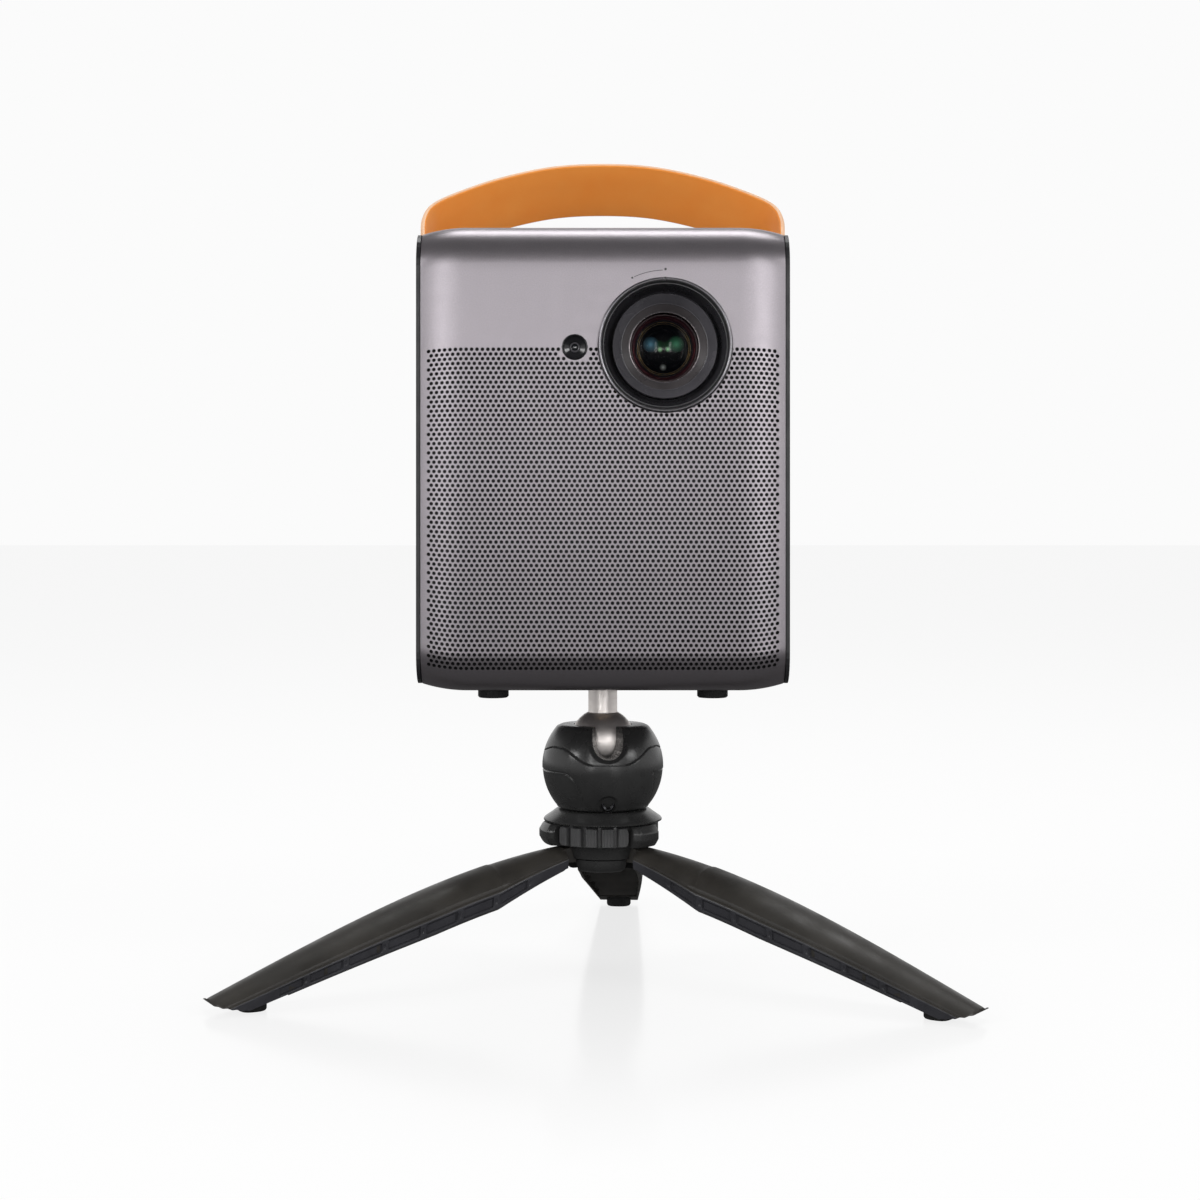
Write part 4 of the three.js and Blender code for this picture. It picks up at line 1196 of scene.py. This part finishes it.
def catmull_rom(points, steps):
    result = []
    for i in range(len(points) - 1):
        p0 = Vector(points[max(i - 1, 0)])
        p1, p2 = Vector(points[i]), Vector(points[i + 1])
        p3 = Vector(points[min(i + 2, len(points) - 1)])
        for k in range(steps):
            t = k / steps
            result.append(0.5 * (2 * p1 + (p2 - p0) * t + (2 * p0 - 5 * p1 + 4 * p2 - p3) * t ** 2
                                 + (3 * p1 - p0 - 3 * p2 + p3) * t ** 3))
    return result + [Vector(points[-1])]


def build_strap():
    line = STRAP_LINE + [(0, STRAP_TOP)] + [(-x, r) for x, r in reversed(STRAP_LINE)]
    centre = catmull_rom(line, 12)
    lean = Matrix.Rotation(STRAP_LEAN, 4, "X")
    pivot = at_projector(0, 0, STRAP_PIVOT_Z)
    section = []
    corner = 0.75
    for sign_y, sign_n in ((1, 1), (-1, 1), (-1, -1), (1, -1)):
        quarter = []
        for k in range(5):
            angle = math.pi / 2 * k / 4
            quarter.append((sign_y * (math.cos(angle) - 1), sign_n * (math.sin(angle) - 1)))
        section.append((sign_y, sign_n, quarter if sign_y * sign_n > 0 else quarter[::-1]))
    vertices = []
    rows = []
    count = len(centre)
    for i, point in enumerate(centre):
        ahead = centre[min(i + 1, count - 1)] - centre[max(i - 1, 0)]
        normal = Vector((ahead.y, -ahead.x)).normalized()
        half = STRAP_HALF
        bend = STRAP_END + STRAP_HALF
        if point.y < bend:
            half = math.sqrt(max(0.16, STRAP_HALF ** 2 - (bend - point.y) ** 2))
        row = []
        for sign_y, sign_n, quarter in section:
            for dy, dn in quarter:
                y = sign_y * half + dy * corner
                n = sign_n * STRAP_THICK / 2 + dn * corner
                flat = point + normal * n
                row.append(len(vertices))
                vertices.append(pivot + lean @ Vector((flat.x, y, flat.y)) * MM)
            # Points across the flat faces keep the leather's shading even.
            if sign_y * sign_n > 0:
                for t in (0.33, 0.67):
                    y = sign_y * (half - corner) * (1 - 2 * t)
                    flat = point + normal * sign_n * STRAP_THICK / 2
                    row.append(len(vertices))
                    vertices.append(pivot + lean @ Vector((flat.x, y, flat.y)) * MM)
        rows.append(row)
    faces = []
    edges = []
    around = len(rows[0])
    for low, high in zip(rows, rows[1:]):
        for k in range(around):
            n = (k + 1) % around
            faces.append([low[k], low[n], high[n], high[k]])
            edges.append(k)
    faces.append(list(rows[0]))
    faces.append(list(reversed(rows[-1])))
    obj = new_object("strap_band", vertices, faces, M["leather"], 0)
    obj.data.materials.append(M["leather_edge_highlight"])
    # The section's sides on the two cut edges, rounded corners included, take the lighter edge colour: a
    # painted highlight along the strap's thickness.
    highlighted_sides = {(k + turn) % around for k in range(8, 13) for turn in (0, around // 2)}
    marks = [1 if k in highlighted_sides else 0 for k in edges] + [1, 1]
    obj.data.polygons.foreach_set("material_index", marks)
    obj.data.polygons.foreach_set("use_smooth", [True] * len(obj.data.polygons))
    fix_normals(obj)
    place(obj, "handle", ("strap",))


def build_rivets():
    profile = [(0, 60.5), (2.2, 60.5), (2.2, 78.1), (4.9, 78.2)]
    profile += [(5, 78.6), (4.6, 79.3), (3.2, 79.85), (0, 80)]
    origin = at_projector(0, 0, STRAP_PIVOT_Z)
    for side, sign in (("left", -1), ("right", 1)):
        points = [(r, x * sign) for r, x in profile]
        obj = lathe("strap_rivet_cap_" + side, points, M["steel"], 64, "x", origin, closed=False)
        place(obj, "projector", ("strap_rivet_" + side,))


# ---------------------------------------------------------------- tripod legs
LEG_ROOT = 25.0
LEG_START = 20.6
LEG_TOE = 176.0
GRIP_RADIUS = 18.0
GRIP_SPREAD = 57.0
GRIP_SKIN = 2.0
GRIP_WALL = 6.6
COVER_START = 53.0
TOE_START = 147.0
POCKET_PITCH = 16.4
POCKET_FROM = 40.0
FOOT_R = (152.5, 164.0)


def crown(r):
    t = (r - LEG_ROOT) / (LEG_TOE - LEG_ROOT)
    return 55.3 - 21.5 * t - 43 * t ** 2 + 15 * t ** 3


def leg_width(r):
    t = (r - LEG_ROOT) / (LEG_TOE - LEG_ROOT)
    return min(1, 0.62 + 1.9 * t) * (1 - 0.42 * max(0.0, (t - 0.38) / 0.62) ** 1.3)


def pocket_depth(r, up):
    """How deep the wall's side is cut at r (millimetres out) and up (0 at its lower edge, 1 at the ridge)."""
    if not POCKET_FROM < r < 150:
        return 0.0
    along = (r - POCKET_FROM) % POCKET_PITCH
    inside = smooth_step(1.6, 2.3, along) * (1 - smooth_step(POCKET_PITCH - 1.4, POCKET_PITCH - 0.7, along))
    inside *= smooth_step(0.14, 0.22, up) * (1 - smooth_step(0.74, 0.82, up))
    notch = smooth_step(0.35, 0.6, along) * (1 - smooth_step(1.0, 1.25, along))
    notch *= smooth_step(0.3, 0.36, up) * (1 - smooth_step(0.62, 0.68, up))
    return 1.2 * inside + 0.35 * notch


ARC_STEPS = 30
WALL_STEPS = 13


def leg_section(r, inset=0.0):
    """Half the leg's section, from the crown outwards and down, as (y, z) in millimetres."""
    width = leg_width(r)
    top = crown(r)
    radius = GRIP_RADIUS - inset / max(width, 0.3)
    cover = 0.35 * smooth_step(COVER_START, COVER_START + 0.5, r) if not inset else 0.0
    points = []
    for k in range(ARC_STEPS + 1):
        angle = math.radians(GRIP_SPREAD) * k / ARC_STEPS
        # The cover stops short of the ridge in a fine groove; the ridge itself stands a little proud.
        share = k / ARC_STEPS
        lift = 0.25 * smooth_step(0.95, 0.97, share) - 0.45 * smooth_step(0.9, 0.925, share)
        reach = radius if inset else radius + lift + cover * (share < 0.9)
        y = reach * math.sin(angle)
        z = reach * math.cos(angle) - GRIP_RADIUS
        points.append((y * width, top + z * width))
    edge_y = radius * math.sin(math.radians(GRIP_SPREAD))
    edge_z = radius * math.cos(math.radians(GRIP_SPREAD)) - GRIP_RADIUS
    for k in range(1, WALL_STEPS + 1):
        share = k / WALL_STEPS
        depth = 0 if inset else pocket_depth(r, 1 - share)
        y = edge_y * width - 0.8 * share * width - depth
        full = edge_z * width - GRIP_WALL * width * share
        points.append((y, top + full + (0.0 if not inset else inset * 0.35 * (1 - share))))
    return points


def toe_floor(r, z):
    """Lifts the toe's underside to its curved, toothed sole."""
    if r < TOE_START + 1:
        return z
    t = (r - TOE_START) / (LEG_TOE - TOE_START)
    sole = 0.9 + 3.6 * max(0.0, (t - 0.25) / 0.75) ** 1.8
    teeth = 0.45 * abs(((r / 1.9) % 2.0) - 1.0) if t > 0.35 else 0.0
    return max(z, sole + teeth)


def leg_stations():
    """Radii at which the leg has a section: close together where pockets, teeth or the cover's edge are."""
    stations = [LEG_START, LEG_START + 0.5, LEG_START + 1.6]
    r = 24.0
    while r < LEG_TOE - 0.3:
        stations.append(r)
        along = (r - POCKET_FROM) % POCKET_PITCH
        fine = r > POCKET_FROM - 1 and (along < 2.6 or along > POCKET_PITCH - 2)
        step = 0.38 if fine or abs(r - COVER_START) < 1 else 1.5
        if r > TOE_START:
            step = 0.48
        r += step
    return stations + [LEG_TOE - 0.25, LEG_TOE]


def build_leg(side):
    stations = leg_stations()
    half = ARC_STEPS + WALL_STEPS
    across = 2 * half + 1
    vertices = []
    turn = Matrix.Rotation(math.radians(LEG_TURNS[side]), 4, "Z")

    def add_row(r, inset):
        section = leg_section(r, inset)
        row = [(-y, z) for y, z in reversed(section)] + section[1:]
        tip = 1.0
        if r > LEG_TOE - 1:
            tip = 1 - 0.12 * (r - LEG_TOE + 1)
        start = len(vertices)
        for y, z in row:
            vertices.append(turn @ Vector((r, y * tip, toe_floor(r, z) if not inset else max(z, 1.2))))
        return list(range(start, start + across))

    outer = [add_row(r, 0.0) for r in stations]
    hollow = [r for r in stations if LEG_START + 1.5 <= r <= TOE_START]
    first = stations.index(hollow[0])
    last = stations.index(hollow[-1])
    inner = [add_row(r, GRIP_SKIN * leg_width(r)) for r in hollow]
    faces = []
    walls = []

    def strip(row_a, row_b, flip=False):
        for k in range(across - 1):
            face = [row_a[k], row_a[k + 1], row_b[k + 1], row_b[k]]
            faces.append(face[::-1] if flip else face)
            walls.append(int(not flip and not WALL_STEPS <= k < across - 1 - WALL_STEPS))

    def cap(row, flip):
        for k in range(half):
            face = list(dict.fromkeys([row[k], row[k + 1], row[across - 2 - k], row[across - 1 - k]]))
            faces.append(face[::-1] if flip else face)

    for a, b in zip(outer, outer[1:]):
        strip(a, b)
    for a, b in zip(inner, inner[1:]):
        strip(a, b, True)
    # Lower edges of the walls, then the solid root and toe, and the end faces.
    for k, (a, b) in enumerate(zip(outer, outer[1:])):
        if first <= k < last:
            i, j = inner[k - first], inner[k - first + 1]
            faces.append([a[0], b[0], j[0], i[0]])
            faces.append([a[-1], i[-1], j[-1], b[-1]])
        else:
            faces.append([a[0], b[0], b[-1], a[-1]])
    cap(outer[0], False)
    cap(outer[-1], True)
    for row, rim, flip in ((inner[0], outer[first], True), (inner[-1], outer[last], False)):
        cap(row, flip)
        faces.append([row[0], rim[0], rim[-1], row[-1]])
    obj = new_object("leg_shell_" + side, vertices, faces, M["leg"], 0)
    obj.data.materials.append(M["leg_wall"])
    obj.data.polygons.foreach_set("material_index", walls + [0] * (len(faces) - len(walls)))
    for vertex in obj.data.vertices:
        vertex.co = vertex.co * MM + FLOOR_UNDER_HUB
    fix_normals(obj)
    smooth(obj, 30)
    place(obj, "leg_" + side, ("leg_" + side,))
    build_leg_ribs(side, turn)
    build_leg_tongue(side, turn)
    build_leg_foot(side, turn)


def prism(name, outline, low, high, material, turn, axis):
    """An outline in the leg's own millimetres pushed from low to high along X ('x') or Y ('y')."""
    count = len(outline)
    vertices = []
    for level in (low, high):
        for a, b in outline:
            point = Vector((level, a, b)) if axis == "x" else Vector((a, level, b))
            vertices.append(turn @ point * MM + FLOOR_UNDER_HUB)
    obj = new_object(name, vertices, prism_faces(count), material, 40)
    fix_normals(obj)
    smooth(obj, 40)
    return obj


def build_leg_ribs(side, turn):
    for number, r in enumerate((36.0, 60.0, 84.0, 108.0, 130.0)):
        section = leg_section(r, GRIP_SKIN * leg_width(r) * 0.8)
        right = section[::3]
        bottom = right[-1][1] + 1.2
        right = [(y, z) for y, z in right if z > bottom] + [(right[-1][0], bottom)]
        outline = right + [(-y, z) for y, z in reversed(right[1:])]
        rib = prism("leg_rib_%s_%d" % (side, number), outline, r, r + 1.4, M["leg"], turn, "x")
        place(rib, "leg_" + side)


def build_leg_tongue(side, turn):
    """The knuckle that turns on the pin between the hub's cheeks."""
    outline = []
    for k in range(21):
        angle = math.radians(90 + 180 * k / 20)
        outline.append((13 + 3.6 * math.cos(angle), 52.9 + 3.6 * math.sin(angle)))
    outline += [(24.5, 49.3), (29.0, 50.5), (29.0, 53.4), (22.0, 54.6), (17.0, 55.9)]
    tongue = prism("leg_knuckle_" + side, outline, -4.85, 4.85, M["leg"], turn, "y")
    place(tongue, "leg_" + side)


def build_leg_foot(side, turn):
    """The rubber foot under the toe, with a rounded lower edge."""
    low_r, high_r = FOOT_R
    middle = (low_r + high_r) / 2
    half_x = (high_r - low_r) / 2
    half_y = 6.0
    vertices = []
    faces = []
    around = 48
    levels = [(0.0, 0.9), (0.25, 0.35), (0.9, 0.0), (5.2, 0.0), (6.0, 0.1)]
    for z, inset in levels:
        for k in range(around):
            angle = 2 * math.pi * k / around
            c, n = math.cos(angle), math.sin(angle)
            x = middle + (half_x - inset) * math.copysign(abs(c) ** 0.72, c)
            y = (half_y - inset) * math.copysign(abs(n) ** 0.72, n)
            vertices.append(turn @ Vector((x, y, z)) * MM + FLOOR_UNDER_HUB)
    rows = len(levels)
    for j in range(rows - 1):
        for k in range(around):
            n = (k + 1) % around
            low, high = j * around, (j + 1) * around
            faces.append([low + k, low + n, high + n, high + k])
    faces.append(list(range(around))[::-1])
    faces.append(list(range((rows - 1) * around, rows * around)))
    obj = new_object("leg_pad_" + side, vertices, faces, M["rubber"], 40)
    place(obj, "leg_" + side, ("leg_foot_" + side,))


# ---------------------------------------------------------------- floor, light and camera
PALE = (0.965, 0.965, 0.965, 1.0)
FLOOR_HALF = 9.0
FLOOR_MATT = 0.12
FLOOR_GLOW = 1.055
FLOOR_GLOSS = 0.14
SHEEN_MIDDLE = (0.0, 0.02, 0.0)
BAND_TOP = 0.04
BAND_RISE = 0.25
ROOM_LIGHT = 0.95


def camera_ray_mix(tree, for_others, for_camera, output):
    """Joins two shaders: one the camera sees directly, and one that lights and reflects."""
    path = tree.nodes.new("ShaderNodeLightPath")
    mix = tree.nodes.new("ShaderNodeMixShader")
    tree.links.new(path.outputs["Is Camera Ray"], mix.inputs[0])
    tree.links.new(for_others, mix.inputs[1])
    tree.links.new(for_camera, mix.inputs[2])
    tree.links.new(mix.outputs[0], output)


def studio_floor():
    mesh = bpy.data.meshes.new("floor")
    h = FLOOR_HALF
    mesh.from_pydata([(-h, -h, 0), (h, -h, 0), (h, h, 0), (-h, h, 0)], [], [(0, 1, 2, 3)])
    floor = bpy.data.objects.new("floor", mesh)
    bpy.context.scene.collection.objects.link(floor)
    material = bpy.data.materials.new("floor_white")
    material.use_nodes = True
    tree = material.node_tree
    tree.nodes.remove(tree.nodes["Principled BSDF"])
    output = tree.nodes["Material Output"].inputs["Surface"]

    glow = tree.nodes.new("ShaderNodeEmission")
    glow.inputs["Color"].default_value = PALE
    glow.inputs["Strength"].default_value = FLOOR_GLOW
    matt = tree.nodes.new("ShaderNodeBsdfDiffuse")
    matt.inputs["Color"].default_value = (0.95, 0.95, 0.95, 1)
    gloss = tree.nodes.new("ShaderNodeBsdfGlossy")
    gloss.inputs["Color"].default_value = PALE
    gloss.inputs["Roughness"].default_value = 0.16
    soft = tree.nodes.new("ShaderNodeMixShader")
    soft.inputs[0].default_value = FLOOR_MATT
    tree.links.new(glow.outputs[0], soft.inputs[1])
    tree.links.new(matt.outputs[0], soft.inputs[2])
    polished = tree.nodes.new("ShaderNodeMixShader")
    on_floor = tree.nodes.new("ShaderNodeTexCoord").outputs["Object"]
    from_leg = vector_node(tree, "DISTANCE", on_floor, SHEEN_MIDDLE)["Value"]
    levels = color_ramp(tree, from_leg, [(0.08, FLOOR_GLOSS), (0.34, 0.0)])
    tree.links.new(levels, polished.inputs[0])
    tree.links.new(soft.outputs[0], polished.inputs[1])
    tree.links.new(gloss.outputs[0], polished.inputs[2])

    # Beyond the camera's own view the floor is a dark table with bright surroundings.
    far = math_node(tree, "DIVIDE", vector_node(tree, "LENGTH", on_floor)["Value"], 4.0)
    table = tree.nodes.new("ShaderNodeEmission")
    levels = color_ramp(tree, far, [(0.0, 0.10), (0.22, 0.12), (0.55, 0.9)])
    tree.links.new(levels, table.inputs["Color"])
    camera_ray_mix(tree, table.outputs[0], polished.outputs[0], output)
    floor.data.materials.append(material)


def studio_world():
    """A pale backdrop. What the object mirrors is a bright band round the horizon, higher behind."""
    world = bpy.data.worlds.new("studio")
    bpy.context.scene.world = world
    world.use_nodes = True
    tree = world.node_tree
    output = tree.nodes["World Output"].inputs["Surface"]
    backdrop = tree.nodes["Background"]
    backdrop.inputs["Color"].default_value = PALE
    coords = tree.nodes.new("ShaderNodeTexCoord")
    split = tree.nodes.new("ShaderNodeSeparateXYZ")
    tree.links.new(coords.outputs["Generated"], split.inputs[0])
    behind = math_node(tree, "MULTIPLY_ADD", split.outputs["Y"], BAND_RISE)
    behind.node.inputs[2].default_value = BAND_RISE
    height = math_node(tree, "SUBTRACT", split.outputs["Z"], behind)
    room = tree.nodes.new("ShaderNodeBackground")
    room.inputs["Strength"].default_value = ROOM_LIGHT
    levels = color_ramp(tree, height, [(0.0, 1.0), (BAND_TOP, 0.95), (BAND_TOP + 0.1, 0.2), (1.0, 0.12)])
    tree.links.new(levels, room.inputs["Color"])
    camera_ray_mix(tree, room.outputs[0], backdrop.outputs[0], output)


def studio():
    studio_floor()
    studio_world()
    for side in (-1, 1):
        softbox("strip", (side * 0.75, -1.8, 0.42), (0, -0.1, 0.22), 0.22, 1.3, 5 + 0.8 * side)
        softbox("side", (side * 1.7, -1.1, 1.0), (0, 0, 0.3), 0.6, 0.6, 12)
    softbox("front", (-0.1, -2.2, 0.42), (0, 0, 0.25), 1.8, 0.26, 5)
    softbox("above", (0.1, 0.5, 1.7), (0, 0, 0.1), 1.0, 0.6, 10)


def softbox(name, place_at, aim, width, height, power):
    light = bpy.data.lights.new(name, "AREA")
    light.shape = "RECTANGLE"
    light.size = width
    light.size_y = height
    light.energy = power
    obj = bpy.data.objects.new(name, light)
    obj.location = place_at
    direction = Vector(aim) - Vector(place_at)
    obj.rotation_euler = direction.to_track_quat("-Z", "Y").to_euler()
    bpy.context.scene.collection.objects.link(obj)


CAMERA_DISTANCE = 0.884
CAMERA_HEIGHT = 0.2044
CAMERA_LEFT = 0.0012
FOCAL_PIXELS = 2212
FRAME_PIXELS = 1200
HORIZON_ABOVE_MIDDLE = 100
SENSOR_MM = 36.0


def camera():
    data = bpy.data.cameras.new("camera")
    data.sensor_width = SENSOR_MM
    data.lens = SENSOR_MM * FOCAL_PIXELS / FRAME_PIXELS
    data.shift_y = -HORIZON_ABOVE_MIDDLE / FRAME_PIXELS
    data.clip_start = 0.01
    obj = bpy.data.objects.new("camera", data)
    obj.location = (PROJECTOR.x - CAMERA_LEFT, SLEEVE_LOW.y - CAMERA_DISTANCE, CAMERA_HEIGHT)
    obj.rotation_euler = (math.radians(90), 0, 0)
    bpy.context.scene.collection.objects.link(obj)
    bpy.context.scene.camera = obj


# ---------------------------------------------------------------- assembly
bpy.context.scene.view_settings.view_transform = "Standard"
dress_cad_nodes()
build_sleeve()
build_backing()
build_lens()
build_camera_window()
build_mark()
build_housing()
build_index_screw()
build_ball()
build_lock_ring()
build_skirt()
build_hub()
build_strap()
build_rivets()
build_soft_edged()
for leg_side in LEG_TURNS:
    build_leg(leg_side)
studio()
camera()
